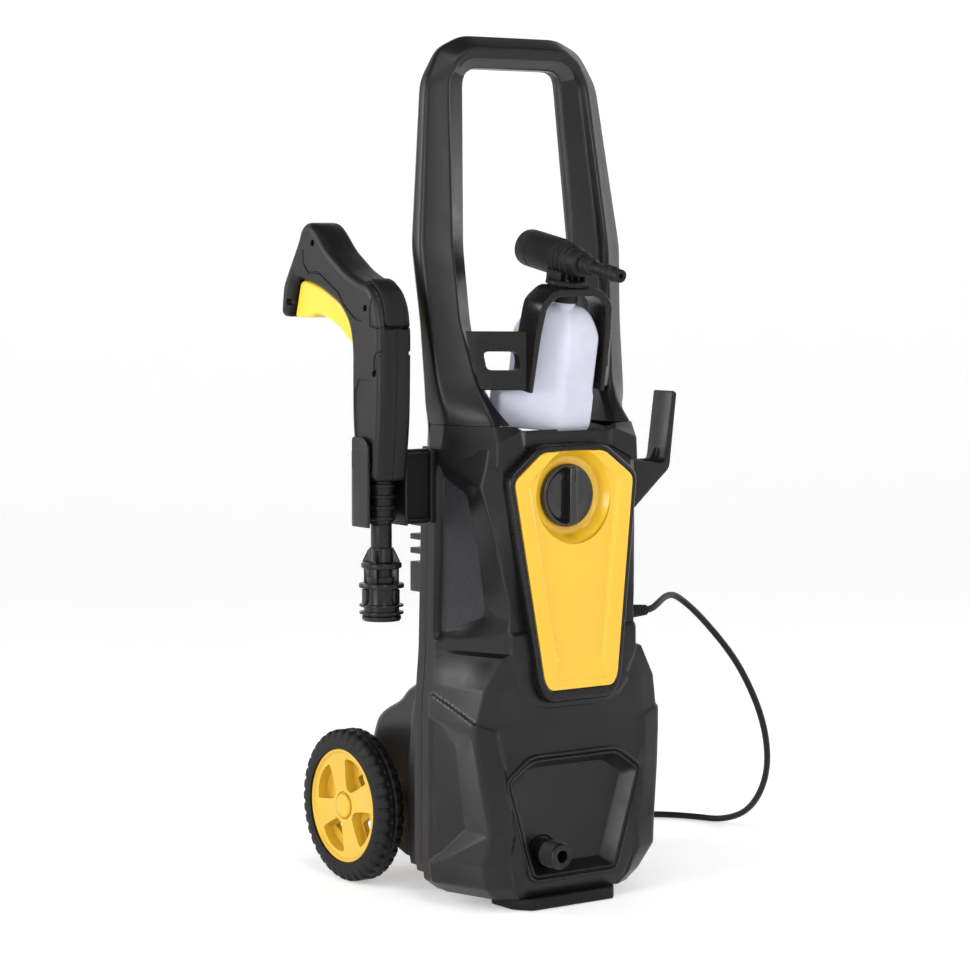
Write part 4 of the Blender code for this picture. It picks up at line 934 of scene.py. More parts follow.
def screws():
    for number, (x, z) in enumerate(screwPlaces):
        seat = seatAt(z)
        headProfile = [(0, seat + 0.0003), (0.0038, seat + 0.0003), (0.0038, seat + 0.0012),
                       (0.0024, seat + 0.0024), (0, seat + 0.0026)]
        head = lathe("head", softProfile(headProfile, 0.0004, 2), (x, 0, z), "Y", 32)
        depth = (seat + 0.0012, seat + 0.004)
        cross = [box("slot", (x - wide, x + wide), depth, (z - tall, z + tall), 0.0001)
                 for wide, tall in ((0.0020, 0.0004), (0.0004, 0.0020))]
        combine(head, cross)
        head.name = "handleScrew%d" % (number + 1)
        place(head, "body", "steel", brushedSteel, "handle_screw_%d" % (number + 1))


handleCover()
handleFrame()
screws()
print("handle made")


# collar round the tray of the bottle: low edge, band edge and top, from the tray to the back

collarHalf = mm([[(50, -7.5, 450.5), (53.5, -11.5, 450), (85.8, -12, 433.5), (105.4, 56, 437.2),
                  (105.6, 74.6, 437.2)],
                 [(50, -8, 464), (57.5, -10.5, 467.2), (85.2, -11.4, 456.2), (106.4, 55, 447.8),
                  (106.6, 74.6, 447.8)],
                 [(50.8, -6.2, 466.8), (60, -6.6, 471.6), (83.8, -4.6, 472), (105.4, 49, 472),
                  (105.4, 74.6, 472)]])


def collar():
    levels = [[p for p in half] + [(-p[0], p[1], p[2]) for p in reversed(half)] for half in collarHalf]
    rows = []
    for low, high, shares in ((levels[0], levels[1], (0.0, 0.04, 0.5, 0.94, 1.0)),
                              (levels[1], levels[2], (0.08, 0.5, 0.94, 1.0))):
        rows += [blend(low, high, share) for share in shares]
    ring = skin("topCollar", [roundCorners(r, 0.0024, 4) for r in rows], 24)
    tray = mm([(-59, -5), (59, -5), (59, 90), (-59, 90)])
    tray = pad("tray", roundCorners(tray, 0.006, 5), 0.4612, 0.49, "Z", 0.0015)
    lip = mm([(-48, 465.5), (48, 465.5), (56, 490), (-56, 490)])
    lip = pad("lip", roundCorners(lip, 0.003, 4), -0.02, 0.0, "Y", 0.0004)
    combine(ring, [tray, lip])
    bead = roundCorners(mm([(-44, 90), (-44, 3), (44, 3), (44, 90), (42.4, 90), (42.4, 4.8), (-42.4, 4.8),
                            (-42.4, 90)]), 0.0040, 4)
    rib = pad("rib", bead, 0.4600, 0.4668, "Z", 0.0005)
    place(merge("topCollar", [ring, rib]), "body", "housing_black", housingBlack, "top_collar")


collar()


# holder: a leaning hood over the bottle with a slotted wing to each arm

leanSettings = {"angle": math.radians(10.7), "neck": (0, -0.011, 0.6317)}
leanTurn = Matrix.Rotation(leanSettings["angle"], 3, "X")
leanPlace = Matrix.Translation(leanSettings["neck"]) @ leanTurn.to_4x4()


def leaning(points):
    return [Vector(leanSettings["neck"]) + leanTurn @ Vector(p) for p in points]


hoodSettings = {"front": -0.0215, "back": 0.0085, "wingLow": 0.5060, "wingHigh": 0.5630}
# outer and inner corner, each x and z in the leaning frame
hoodHalf = mm([((46, -126.2), (41.2, -126.2)), ((46, -70), (39, -70)), ((43, -38.5), (36, -43)),
               ((27, -24.7), (24, -32))])


def holder():
    s = hoodSettings
    sections = []
    for side, order in ((-1, hoodHalf), (1, hoodHalf[::-1])):
        for (outerX, outerZ), (innerX, innerZ) in order:
            corners = ((outerX, s["front"], outerZ), (innerX, s["front"], innerZ),
                       (innerX, s["back"], innerZ), (outerX, s["back"], outerZ))
            sections.append([tuple(p) for p in leaning([(side * x, y, z) for x, y, z in corners])])
    sections = np.array(sections)
    fine = sweepSections(sections, 0.004, 2)
    hood = skin("holderHood", [roundCorners(r, 0.0016, 3) for r in fine], 35)
    slot = mm([(-13.5, -13.5), (13.5, -13.5), (13.5, 30), (-13.5, 30)])
    slot = slab("slot", roundCorners(slot, 0.008, 6), -0.042, -0.018, "Z", 0.0002, 1)
    slot.data.transform(leanPlace)
    combine(hood, [slot])
    parts = [hood]
    for side in (-1, 1):
        low = mm([(45, -4), (80, 26.2), (76, 31.6), (45, 3)])
        high = mm([(45, -4), (90, 36.2), (86, 41), (45, 3)])
        rings = []
        for z, inset in ((0.5062, 0.0008), (0.5070, 0.0), (0.5346, 0.0), (0.5622, 0.0), (0.5630, 0.0008)):
            mixed = blend(low, high, (z - s["wingLow"]) / (s["wingHigh"] - s["wingLow"]))
            moved = offsetOutline(roundCorners(mixed, 0.0012, 3), inset)
            rings.append([(side * p[0], p[1], z) for p in moved])
        wing = skin("wing", rings, 35)
        opening = ((0.0495, 0.5255), (0.0745, 0.5255), (0.0770, 0.5435), (0.0520, 0.5435))
        opening = [(side * x, z) for x, z in opening]
        opening = pad("opening", roundCorners(opening, 0.0045, 6), -0.03, 0.06, "Y", 0.0002)
        parts.append(combine(wing, [opening]))
    place(merge("holderHood", parts), "body", "trim_black", bezelBlack, "accessory_holder")


holder()
print("holder made")


# foam bottle, its cap and the nozzle

def bottle():
    low = mm([(0, -19.5), (34, -19.5), (37.5, -16), (37.5, 32), (32, 37), (-48, 37), (-55, 30), (-55, 12)])
    high = mm([(-2, -19.5), (32, -19.5), (35.5, -16), (35.5, 30), (30, 35), (-30, 35), (-35.5, 30),
               (-35.5, 4)])
    steps = [(-0.1672, 0.88, 0), (-0.1664, 0.94, 0), (-0.1640, 0.98, 0), (-0.1600, 1, 0), (-0.1360, 1, 0),
             (-0.1325, 1, 0.10), (-0.1300, 1, 0.5), (-0.1275, 1, 0.90), (-0.1240, 1, 1), (-0.1000, 1, 1),
             (-0.0780, 1, 1), (-0.0735, 0.99, 1), (-0.0690, 0.955, 1), (-0.0640, 0.90, 1),
             (-0.0590, 0.83, 1), (-0.0540, 0.75, 1), (-0.0500, 0.66, 1), (-0.0465, 0.54, 1),
             (-0.0450, 0.44, 1), (-0.0444, 0.34, 1)]
    rings = []
    for z, scale, share in steps:
        soft = roundCorners(blend(low, high, share), 0.0034, 5)
        rings.append(leaning([(p[0] * scale, p[1] * scale, z) for p in soft]))
    flask = skin("foamBottle", rings, 22)
    neck = lathe("neck", rod(0.0113, -0.0520, -0.0246), leanSettings["neck"], leanTurn, 48)
    place(combine(flask, [neck], "UNION"), "bottle", "bottle_milky", bottleMilky, "foam_bottle")
    knurls, knurlFrom, knurlRise = 36, 0.0185, 0.00035
    capProfile = mm([(11.6, -41), (12.7, -41), (12.7, -24.3), (20, -24.1), (19.8, -20), (18.5, -19.4),
                     (11.6, -19.4)])
    cap = lathe("bottleCap", softProfile(capProfile, 0.0006, 2), leanSettings["neck"], leanTurn, 144, 40,
                lambda r, h, a: r + (knurlRise * math.cos(knurls * a) if r > knurlFrom else 0))
    place(cap, "bottle", "nozzle_charcoal", nozzleCharcoal, "bottle_cap")


def nozzleParts():
    along = leanTurn @ axes["Y"]
    at = leanSettings["neck"]
    barrel = mm([(10.2, 9.6), (16.8, 9.6), (18, 10.6), (18.4, 12.5), (18.5, 48), (18, 48.6), (18, 50),
                 (18.5, 50.6), (18.4, 62.5), (17.8, 65.5), (16.8, 66.4), (15.8, 66), (15.2, 24),
                 (10.2, 20)])
    place(lathe("nozzleBarrel", barrel, at, along, 80, 35), "bottle", "nozzle_charcoal", nozzleCharcoal,
          "nozzle_barrel")
    body = mm([(0, -24.3), (11.2, -24.3), (12.8, -22.5), (12.8, -12), (15, -10), (15, -6.6), (16.6, -5.8),
               (16.6, -3.6), (15.2, -3), (15.2, -1), (17, -0.4), (17, 2.2), (15.8, 2.8), (15.8, 4.8),
               (17.4, 5.4), (17.4, 8.9), (0, 8.9)])
    fins = [lathe("nozzleBody", softProfile(body, 0.0005, 2), at, along, 72, 35)]
    for k in range(5):                                     # fins under the front of the barrel
        fin = box("fin", (-0.0165 + 0.0075 * k, -0.0145 + 0.0075 * k), (-0.0100, 0.0120),
                  (-0.0192, -0.0105), 0.0004)
        fin.data.transform(leanPlace)
        fins.append(fin)
    place(merge("nozzleBody", fins), "bottle", "nozzle_charcoal", nozzleCharcoal, "nozzle_body")
    spigot = mm([(0, -24.8), (9, -24.8), (9, -29), (8.2, -29.6), (8.2, -33), (9, -33.6), (9, -38.2),
                 (6.2, -40.5), (6.2, -56.5), (7.5, -58.5), (7.5, -64), (6.8, -64.8), (6.8, -67.2),
                 (7.5, -68), (7.5, -72.5), (6.4, -76.5), (6.4, -82.4), (2.5, -82.4), (2.5, -70.6),
                 (0, -70.6)])
    place(lathe("nozzleSpigot", softProfile(spigot, 0.0004, 2), at, along, 60, 35), "bottle",
          "nozzle_charcoal", nozzleCharcoal, "nozzle_spigot")


bottle()
nozzleParts()
print("bottle and nozzle made")


# spray gun: two shells, trigger, release button, boot, tube and bayonet socket

gunSettings = {"x": -0.168, "y": 0.066, "half": 0.0195, "gap": 0.0002, "trigger": 0.0110, "button": 0.0130,
               "tube": 0.0102, "wall": 0.0118, "round": 0.0085}
gunOutline = mm([(47, 420.4), (40.5, 475), (39.5, 500), (38.5, 565), (42.5, 587.5), (50, 601),
                 (60, 609.5), (76, 613), (99, 621.5), (130, 641.5), (150, 661), (160, 667.5), (172, 668),
                 (180.5, 662), (185, 651.2), (213.8, 606.7), (217.2, 580), (214, 575), (203.5, 575),
                 (193.5, 609), (188, 613), (170, 610.5), (149.2, 605), (113, 589), (95, 570), (90, 548),
                 (90.5, 475), (82.5, 420.4)])
gunRadii = [0.004, 0.02, 0.02, 0.02, 0.008, 0.008, 0.008, 0.008, 0.012, 0.010, 0.008, 0.006, 0.006, 0.005,
            0.006, 0.008, 0.003, 0.003, 0.003, 0.006, 0.006, 0.006, 0.010, 0.010, 0.010, 0.010, 0.020,
            0.004]
triggerOutline = mm([(91.5, 556), (96.5, 570), (113, 586.8), (149.2, 603), (170, 609), (187, 611.5),
                     (192, 608.5), (201.5, 576.5), (199, 574.5), (172, 574.5), (166, 579), (149.4, 576.6),
                     (123, 566.5), (96.5, 548)])
triggerRoom = mm([(86, 544), (87, 576), (108, 601), (148, 621.5), (182, 629), (192.5, 624), (192.5, 605),
                  (150, 590), (110, 570), (100, 545)])
buttonOutline = mm([(36.2, 569), (40, 588.5), (48, 603.5), (59, 612.5), (68, 615), (68, 607), (60, 605),
                    (52, 598), (45.5, 586), (42, 569)])
buttonPocket = mm([(30, 565.5), (45, 565.5), (48.6, 583.2), (55, 595), (62.8, 602), (71.2, 604),
                   (71.2, 620), (30, 620)])


def tube(name, points, radius, sides=8):
    rings = []
    pts = [Vector(p) for p in points]
    for i, p in enumerate(pts):
        ahead = (pts[min(i + 1, len(pts) - 1)] - pts[max(i - 1, 0)]).normalized()
        sideways = ahead.cross(Vector((1, 0, 0)))
        if sideways.length < 0.2:
            sideways = ahead.cross(Vector((0, 0, 1)))
        sideways.normalize()
        other = ahead.cross(sideways)
        rings.append([p + sideways * radius * math.cos(2 * math.pi * k / sides)
                      + other * radius * math.sin(2 * math.pi * k / sides) for k in range(sides)])
    return skin(name, rings, 40)


gunGrooves = mm([[(173, 640), (173, 629), (163, 618.5), (145, 619.5), (110.6, 601), (102, 590), (81.7, 576),
                  (70, 574)],
                 [(47, 600), (52, 596), (56, 584), (55, 570), (39, 567)],
                 [(83.5, 490), (84.5, 535)]])
gunChannel = mm([(48, 524), (48, 537), (45, 542.5), (36, 544)])
gunWells = mm([(156, 648), (64, 586), (56, 440), (49, 524), (202, 590)])
gripField = mm([(53, 430), (49, 475), (48, 505), (54, 518), (76, 518), (82.5, 505), (82.5, 478),
                (76, 430)])


def gunHeight(y, z, depth):
    s = gunSettings
    t = np.clip(depth / s["round"], 0, 1)
    height = s["wall"] + (s["half"] - s["wall"]) * np.sqrt(1 - (1 - t) ** 2)
    height = height - 0.0012 * smoothStep(-polyDistance(y, z, gripField), 0.0, 0.0007)
    for line in gunGrooves:
        height = height - 0.0011 * (1 - smoothStep(lineDistance(y, z, line), 0.0005, 0.0012))
    height = height - 0.0016 * (1 - smoothStep(lineDistance(y, z, gunChannel), 0.0012, 0.0024))
    for wy, wz in gunWells:
        height = height - 0.0050 * (1 - smoothStep(np.hypot(y - wy, z - wz), 0.0027, 0.0032))
    return height


def nearDetail():                                      # extra points where the face has detail
    extras = []
    for line in gunGrooves + [gunChannel]:
        for a, b in zip(line, line[1:]):
            a, b = Vector(a), Vector(b)
            side = (b - a).normalized().orthogonal()
            count = max(2, int((b - a).length / 0.0012))
            for k in range(count):
                for shift in (-0.0024, -0.0013, -0.0005, 0.0, 0.0005, 0.0013, 0.0024):
                    extras.append(tuple(a + (b - a) * k / count + side * shift))
    for wy, wz in gunWells:
        for radius in (0.0015, 0.0026, 0.0033):
            extras += [(wy + radius * math.cos(k * math.pi / 10), wz + radius * math.sin(k * math.pi / 10))
                       for k in range(20)]
    for inset in (0.0, 0.0007):
        extras += [tuple(p) for p in offsetOutline(resample(gripField, 0.0016), inset)]
    return extras


def gunShell(half, name, node):
    s = gunSettings
    outline = roundCorners(gunOutline, gunRadii, 4)
    shell = relief(name, outline, s["gap"], gunHeight, nearDetail(),
                   lambda y, z, h: (s["x"] + half * h, y, z))
    cuts = []
    for room, depth in ((triggerRoom, s["trigger"] + 0.0008), (buttonPocket, s["button"] + 0.0004)):
        low, high = sorted((s["x"] - half * 0.001, s["x"] + half * depth))
        cuts.append(slab("room", room, low, high, "X", 0.0001, 1))
    cuts.append(lathe("bore", rod(0.0106, 0.41, 0.546), (s["x"], s["y"], 0), "Z", 32))
    place(combine(shell, cuts), "gun", "housing_black", gunBlack, node)


gunShell(-1, "gunShellLeft", "gun_shell_left")
gunShell(1, "gunShellRight", "gun_shell_right")


# a plate as wide as its own setting, in the gun's middle
def gunPad(name, outline, soft, steps, width, edge):
    middle, half = gunSettings["x"], gunSettings[width]
    return pad(name, roundCorners(outline, soft, steps), middle - half, middle + half, "X", edge)


trigger = gunPad("gunTrigger", triggerOutline, 0.006, 4, "trigger", 0.0032)
place(trigger, "trigger", "trigger_yellow", triggerYellow, "gun_trigger")
button = gunPad("releaseButton", buttonOutline, 0.004, 3, "button", 0.0040)
ribCuts = []
for k in range(6):                                     # grip ribs over the top of the button
    a = math.radians(160 - 16 * k)
    at = (0.0640 + 0.0268 * math.cos(a), 0.5850 + 0.0290 * math.sin(a))
    ribCuts.append(tube("ribCut", [(gunSettings["x"] - 0.009, *at), (gunSettings["x"] + 0.009, *at)],
                        0.0008, 6))
place(combine(button, ribCuts), "release", "housing_black", gripBlack, "release_button")


def turnedCopies(makeOne, count, first, at):           # the same piece, turned evenly round an upright axis
    made = []
    for k in range(count):
        piece = makeOne()
        turn = Matrix.Rotation(math.radians(first + 360 / count * k), 4, "Z")
        piece.data.transform(Matrix.Translation(at) @ turn)
        made.append(piece)
    return made


def bootAndSocket():
    s = gunSettings
    at = (s["x"], s["y"], 0)
    core, disc = 0.0118, 0.0137
    boot = [(s["tube"] + 0.0003, 0.3802)]
    for k in range(4):
        z = 0.3802 + 0.0105 * k
        boot += [(core, z), (core, z + 0.0020), (disc - 0.0003, z + 0.0026), (disc, z + 0.0032),
                 (disc, z + 0.0048), (disc - 0.0003, z + 0.0054), (core, z + 0.0060)]
    boot += [(core, 0.4198), (s["tube"] + 0.0003, 0.4198)]
    place(lathe("gunBoot", boot, at, "Z", 64), "gun", "housing_black", gunBlack, "gun_boot")
    pipeProfile = [(0, 0.3302), (s["tube"] - 0.0002, 0.3302), (s["tube"], 0.3306), (s["tube"], 0.3780),
                   (s["tube"] - 0.0004, 0.3786), (s["tube"] - 0.0004, 0.4198), (0, 0.4198)]
    pipe = lathe("lanceTube", pipeProfile, at, "Z", 64)
    place(pipe, "gun", "trim_black", bezelBlack, "lance_tube")
    top = [(s["tube"] + 0.0003, 0.3555), (0.0122, 0.3555), (0.0124, 0.3425), (0.0190, 0.3412),
           (0.0196, 0.3405), (0.0196, 0.3370), (0.0190, 0.3360), (s["tube"] + 0.0003, 0.3358)]
    head = lathe("socketHead", softProfile(top, 0.0006, 2), at, "Z", 72)
    low = mm([(14, 285.2), (17.8, 285.2), (19, 287), (19, 289.5), (17.2, 290.5), (17.2, 291.2),
              (21.2, 291.8), (21.5, 292.8), (21.2, 294), (17.2, 294.6), (17.2, 298.4), (21.2, 299),
              (21.5, 300), (21.2, 301), (17.2, 301.6), (16.6, 305), (16.6, 316.5), (21.6, 317.2),
              (21.9, 318.4), (21.9, 320), (21.4, 321.2), (15, 322.2), (13.5, 322.8), (10.6, 328),
              (14, 327.8)])
    sleeve = lathe("socketSleeve", low, at, "Z", 72)
    posts = turnedCopies(lambda: box("post", (-0.0022, 0.0022), (0.0108, 0.0176), (0.3205, 0.3365), 0.0006),
                         4, 35, at)                        # the open cage between the flanges
    lugs = turnedCopies(lambda: box("lug", (-0.0045, 0.0045), (0.0150, 0.0190), (0.3020, 0.3160), 0.0008),
                        3, 200, at)
    web = roundCorners(mm([(11, 340.5), (18.8, 340.5), (18.8, 343), (13.5, 353.5), (11, 355)]),
                       0.001, 3)
    gussets = turnedCopies(lambda: pad("gusset", web, -0.0014, 0.0014, "Y", 0.0004), 4, 35, at)
    coreProfile = [(s["tube"] + 0.0003, 0.3225), (0.0110, 0.3225), (0.0110, 0.3362),
                   (s["tube"] + 0.0003, 0.3362)]
    lugs += posts + gussets + [lathe("core", coreProfile, at, "Z", 48)]
    place(merge("lanceSocket", [head, sleeve, *lugs]), "gun", "housing_black", bezelBlack, "lance_socket")


bootAndSocket()
print("spray gun made")


# cradle of the gun and hook of the cord

def cradle():
    wall, half = 0.0030, 0.0205
    left, right = gunSettings["x"] - half, gunSettings["x"] + half
    mouth, back, soft = 0.054, 0.0880, 0.0060
    outline = [(-0.1070, 0.073), (-0.1070, 0.067), (right + wall, 0.067), (right + wall, mouth),
               (right, mouth), (right, back - soft), (right - soft, back), (left + soft, back),
               (left, back - soft), (left, mouth), (left - wall, mouth), (left - wall, back - soft),
               (left + soft - wall, back + wall), (right - soft + wall, back + wall),
               (right + wall, back - soft), (right + wall, 0.073)]
    radii = [0.001, 0.001, 0.002, 0.0014, 0.0014, 0.004, 0.004, 0.004, 0.004, 0.0014, 0.0014, 0.005, 0.005,
             0.005, 0.005, 0.002]
    body = pad("gunCradle", roundCorners(outline, radii, 4), 0.3762, 0.4488, "Z", 0.0008)
    cheekOutline = [(mouth, 0.4300), (back - soft, 0.4300), (back - soft, 0.4628), (0.0620, 0.4628),
                    (mouth, 0.4550)]
    cheek = pad("cheek", roundCorners(cheekOutline, 0.004, 4), left - wall, left, "X", 0.0008)
    ribs = [box("rib", (-0.1440, -0.1100), (0.0640, 0.0690), (z, z + 0.0022), 0.0004)
            for z in (0.3790, 0.4440)]
    foot = box("foot", (-0.1130, -0.1068), (0.0610, 0.0740), (0.3766, 0.4484), 0.0008)
    combine(body, [cheek, foot, *ribs], "UNION")
    place(body, "body", "housing_black", housingBlack, "gun_holder")


def hook():
    outline = mm([(107.5, 372.2), (113, 372.2), (124, 380), (160, 411), (170, 419), (179, 496),
                  (174, 498.5), (164, 424), (124, 430), (112, 438), (105.8, 435)])
    radii = [0.002, 0.003, 0.006, 0.006, 0.012, 0.003, 0.003, 0.010, 0.008, 0.003, 0.002]
    body = pad("cordHook", roundCorners(outline, radii, 5), 0.0402, 0.0728, "Y", 0.0018)
    ribOutline = mm([(124, 423), (140, 421.5), (162, 421.5), (164, 440), (162.5, 440), (156, 429),
                     (124, 429)])
    rib = pad("rib", roundCorners(ribOutline, 0.002, 3), 0.0550, 0.0580, "Y", 0.0004)
    place(combine(body, [rib], "UNION"), "body", "housing_black", housingBlack, "cord_hook")


cradle()
hook()
print("cradle and hook made")


# rear housing: the same rim, arches for the wheels and a tail that narrows upwards

rearLevels = mm([(30.2, 112, (98, 122), 78, 170), (45, 115, (100, 124), 80, 212),
                 (80, 115, (100, 124), 80, 232), (130, 115, (100, 124), 80, 230),
                 (165, 115, (99, 120), 80, 216), (178, 115, (99, 120), 80, 196),
                 (185, 115, (98, 118), 79, 174), (199, 114.2, (98, 116), 77, 168),
                 (207, 113.8, (88, 100), 70, 150), (250, 110, (86, 98), 70, 150),
                 (380, 107, (86, 98), 66, 150), (430, 105.6, (84, 96), 60, 136),
                 (449.8, 105, (82, 94), 55, 118)])


axleAt, inletAt, glandAt = (0, 0.207, 0.0775), (0.035, 0, 0.055), (0, 0.042, 0.2755)


def rearRing(z):
    rim, archX, archY, tailX, tailY = readLevels(z, rearLevels)
    half = [(rim, 0.0753), (rim, 0.0880), (archX, 0.0920), (archX, archY), (tailX, archY + 0.001),
            (tailX, tailY - 0.012), (tailX - 0.010, tailY)]
    return [(-x, y, z) for x, y in half] + [(x, y, z) for x, y in reversed(half)]


def rearHousing():
    rows = np.array([rearRing(z) for z in np.linspace(rearLevels[0][0], rearLevels[-1][0], 130)])
    for _ in range(4):
        rows[1:-1] = 0.5 * rows[1:-1] + 0.25 * (rows[:-2] + rows[2:])
    radii = [0.0004, 0.0015, 0.002, 0.006, 0.004, 0.008, 0.008]
    rings = [roundCorners(r, radii + radii[::-1], 4) for r in rows]
    low = [Vector((p[0] * 0.985, p[1], p[2])) for p in rings[0]]
    shellBack = skin("rearHousingShell", [low] + rings, 40)
    cuts = [lathe("axleWay", rod(0.0058, -0.12, 0.12), axleAt, "X", 32),
            lathe("inletWay", rod(0.0122, 0.19, 0.26), inletAt, "Y", 32)]
    for k in range(8):                                     # rows of vents in the tail
        z = 0.296 + 0.0105 * k
        vent = roundCorners([(-0.036, z), (0.036, z), (0.036, z + 0.0045), (-0.036, z + 0.0045)], 0.0021, 4)
        cuts.append(slab("vent", vent, 0.139, 0.17, "Y", 0.0002, 1))
    for side in (-1, 1):                                   # side louvres
        for k in range(4):
            z = 0.300 + 0.022 * k
            cuts.append(box("louvre", sorted((side * 0.0625, side * 0.0750)), (0.112, 0.138),
                            (z, z + 0.006), 0.0004))
    plate = roundCorners(mm([(-45, 205), (45, 205), (52, 285), (-52, 285)]), 0.006, 5)
    cuts.append(slab("plateCut", plate, 0.1487, 0.19, "Y", 0.0002, 1))
    combine(shellBack, cuts)
    blocks = []
    for side in (-1, 1):                                   # cooling ribs beside the tail
        for z, rise in ((0.3020, 0.030), (0.3400, 0.006), (0.3540, 0.006), (0.3680, 0.008),
                        (0.3840, 0.004)):
            blocks.append(box("rib", sorted((side * 0.0640, side * 0.0880)), (0.094, 0.134), (z, z + rise),
                              0.0012))
    combine(shellBack, blocks, "UNION")
    shellBack.data.materials.clear()
    shellBack.data.materials.append(housingBlack)
    shellBack.data.materials.append(rimBlack)
    for polygon in shellBack.data.polygons:
        polygon.material_index = 1 if polygon.center.y < 0.0885 else 0
    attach(shellBack, "body")
    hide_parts("rear_housing")


rearHousing()
print("rear housing made")


# wheels

wheelSettings = {
    "inner": 0.094, "outer": 0.123, "tread": 0.0775, "rim": 0.058, "blocks": 38,
    "spokes": 4, "firstSpoke": 28,
    "window": ((0.0185, 0.22), (0.0300, 0.40), (0.0480, 0.47), (0.0497, 0.24), (0.0503, 0.0),
               (0.0497, -0.24), (0.0480, -0.47), (0.0300, -0.40), (0.0185, -0.22)),     # radius and angle
    "hole": ((0.0240, 0.28), (0.0430, 0.43), (0.0400, 0.02), (0.0300, -0.20))}


def wheelSet(side, name):
    s = wheelSettings
    at = axleAt
    inner, outer, r = s["inner"], s["outer"], s["tread"]
    middle = (inner + outer) / 2
    half = (outer - inner) / 2
    profile = [(s["rim"] + 0.0003, -half), (s["rim"] + 0.0060, -half), (0.0690, -half + 0.0006),
               (0.0722, -half + 0.0018), (r - 0.0030, -half + 0.0026), (r - 0.0008, -half + 0.0046)]
    across = np.linspace(-half + 0.006, half - 0.006, 13)
    profile += [(r, float(v)) for v in across]
    profile += [(a, -b) for a, b in reversed(profile[:6])]

    def tread(radius, height, angle):
        if radius < 0.0715:
            return radius
        share = (angle / (2 * math.pi) * s["blocks"] + (0.5 if side * height > 0 else 0.0)) % 1.0
        slot = smoothStep(np.array(abs(share - 0.5)), 0.20, 0.13)
        middleBand = smoothStep(np.array(abs(height)), 0.0022, 0.0040)
        channel = 1 - smoothStep(np.array(abs(height)), 0.0010, 0.0022)
        return radius - 0.0024 * float(slot) * float(middleBand) - 0.0018 * float(channel)

    tyre = lathe(name + "Tyre", [(a, side * (b + middle)) for a, b in profile], at, "X", s["blocks"] * 12,
                 40, lambda radius, height, angle: tread(radius, side * height - middle, angle))
    body = name + "_wheel"
    place(tyre, body, "tyre_black", tyreRubber, name + "_tyre")
    face, web, back = outer - 0.0018, outer - 0.0040, inner + 0.0020
    lip = s["rim"]
    rimProfile = [(0.0054, back + 0.004), (0.0140, back + 0.004), (0.0150, back + 0.006),
                  (lip - 0.0040, back + 0.006), (lip - 0.0040, back), (lip - 0.0001, back),
                  (lip - 0.0001, face - 0.0004), (lip - 0.0006, face), (lip - 0.0026, face),
                  (lip - 0.0034, face - 0.0006), (lip - 0.0044, web + 0.0004), (lip - 0.0060, web),
                  (0.0170, web + 0.0008), (0.0145, web + 0.0008), (0.0135, outer - 0.0050),
                  (0.0054, outer - 0.0050)]
    rim = lathe(name + "Rim", [(a, side * b) for a, b in rimProfile], at, "X", 96, 35)
    cuts = []
    for k in range(s["spokes"]):
        mid = math.radians(s["firstSpoke"] + 360 / s["spokes"] * k)
        for part, soft, steps, deep in (("window", 0.0035, 4, 0.0140), ("hole", 0.002, 3, -0.002)):
            outline = [(at[1] + radius * math.cos(mid + spread), at[2] + radius * math.sin(mid + spread))
                       for radius, spread in s[part]]
            low, high = sorted((side * (inner + deep), side * (outer + 0.005)))
            cuts.append(slab(part, roundCorners(outline, soft, steps), low, high, "X", 0.0002, 1))
    combine(rim, cuts)
    place(rim, body, "wheel_yellow", wheelYellow, name + "_rim")
    seat = outer - 0.0046
    cap = softProfile([(0, seat), (0.0125, seat), (0.0125, outer - 0.0022), (0.0105, outer - 0.0006),
                       (0, outer - 0.0001)], 0.0010, 3)
    place(lathe(name + "HubCap", [(a, side * b) for a, b in cap], at, "X", 48), body, "wheel_yellow",
          wheelYellow, name + "_hub_cap")


wheelSet(-1, "left")
wheelSet(1, "right")
print("wheels made")


# small fittings and the pieces inside

def smallFittings():
    gland = mm([(0, 96.2), (5.6, 96.2), (5.6, 107.6), (8.8, 107.8), (9, 108.6), (9, 111.8), (8.4, 112.6),
                (7.6, 114)])
    for k in range(6):                                     # the tapered sleeve is notched
        x = 0.1145 + 0.0042 * k
        r = 0.0074 - 0.00036 * k
        gland += [(r, x), (r, x + 0.0024), (r - 0.0010, x + 0.0027), (r - 0.0010, x + 0.0038)]
    gland += [(0.0053, 0.1398), (0, 0.1399)]
    place(lathe("cableGland", gland, glandAt, "X", 40), "body", "housing_black", cordRubber, "cable_gland")
    footHalf = [(0.0500, -0.0210), (0.0630, -0.0040), (0.0630, 0.0320)]
    foot = slab("frontFoot", roundCorners(mirrorHalf(footHalf), 0.004, 4), 0.0001, 0.0116, "Z", 0.0016, 3)
    place(foot, "body", "housing_black", tyreRubber, "front_foot")
    end = wheelSettings["outer"] - 0.0056
    axle = lathe("wheelAxle", softProfile(rod(0.0050, -end, end), 0.0008, 3), axleAt, "X", 40)
    place(axle, "body", "steel", brushedSteel, "axle")
    inlet = [(0.0060, 0.2559), (0.0098, 0.2559), (0.0104, 0.2552)]
    for k in range(7):
        inlet += [(0.0104, 0.2540 - 0.0018 * k), (0.0096, 0.2531 - 0.0018 * k)]
    inlet += mm([(10.4, 240.2), (10.4, 237.6), (14.9, 237.4), (14.9, 236.8), (11.1, 236.6), (11.1, 200.2),
                 (6, 200.2)])
    place(lathe("waterInlet", inlet, inletAt, "Y", 48), "body", "brass", machinedBrass, "inlet_fitting")


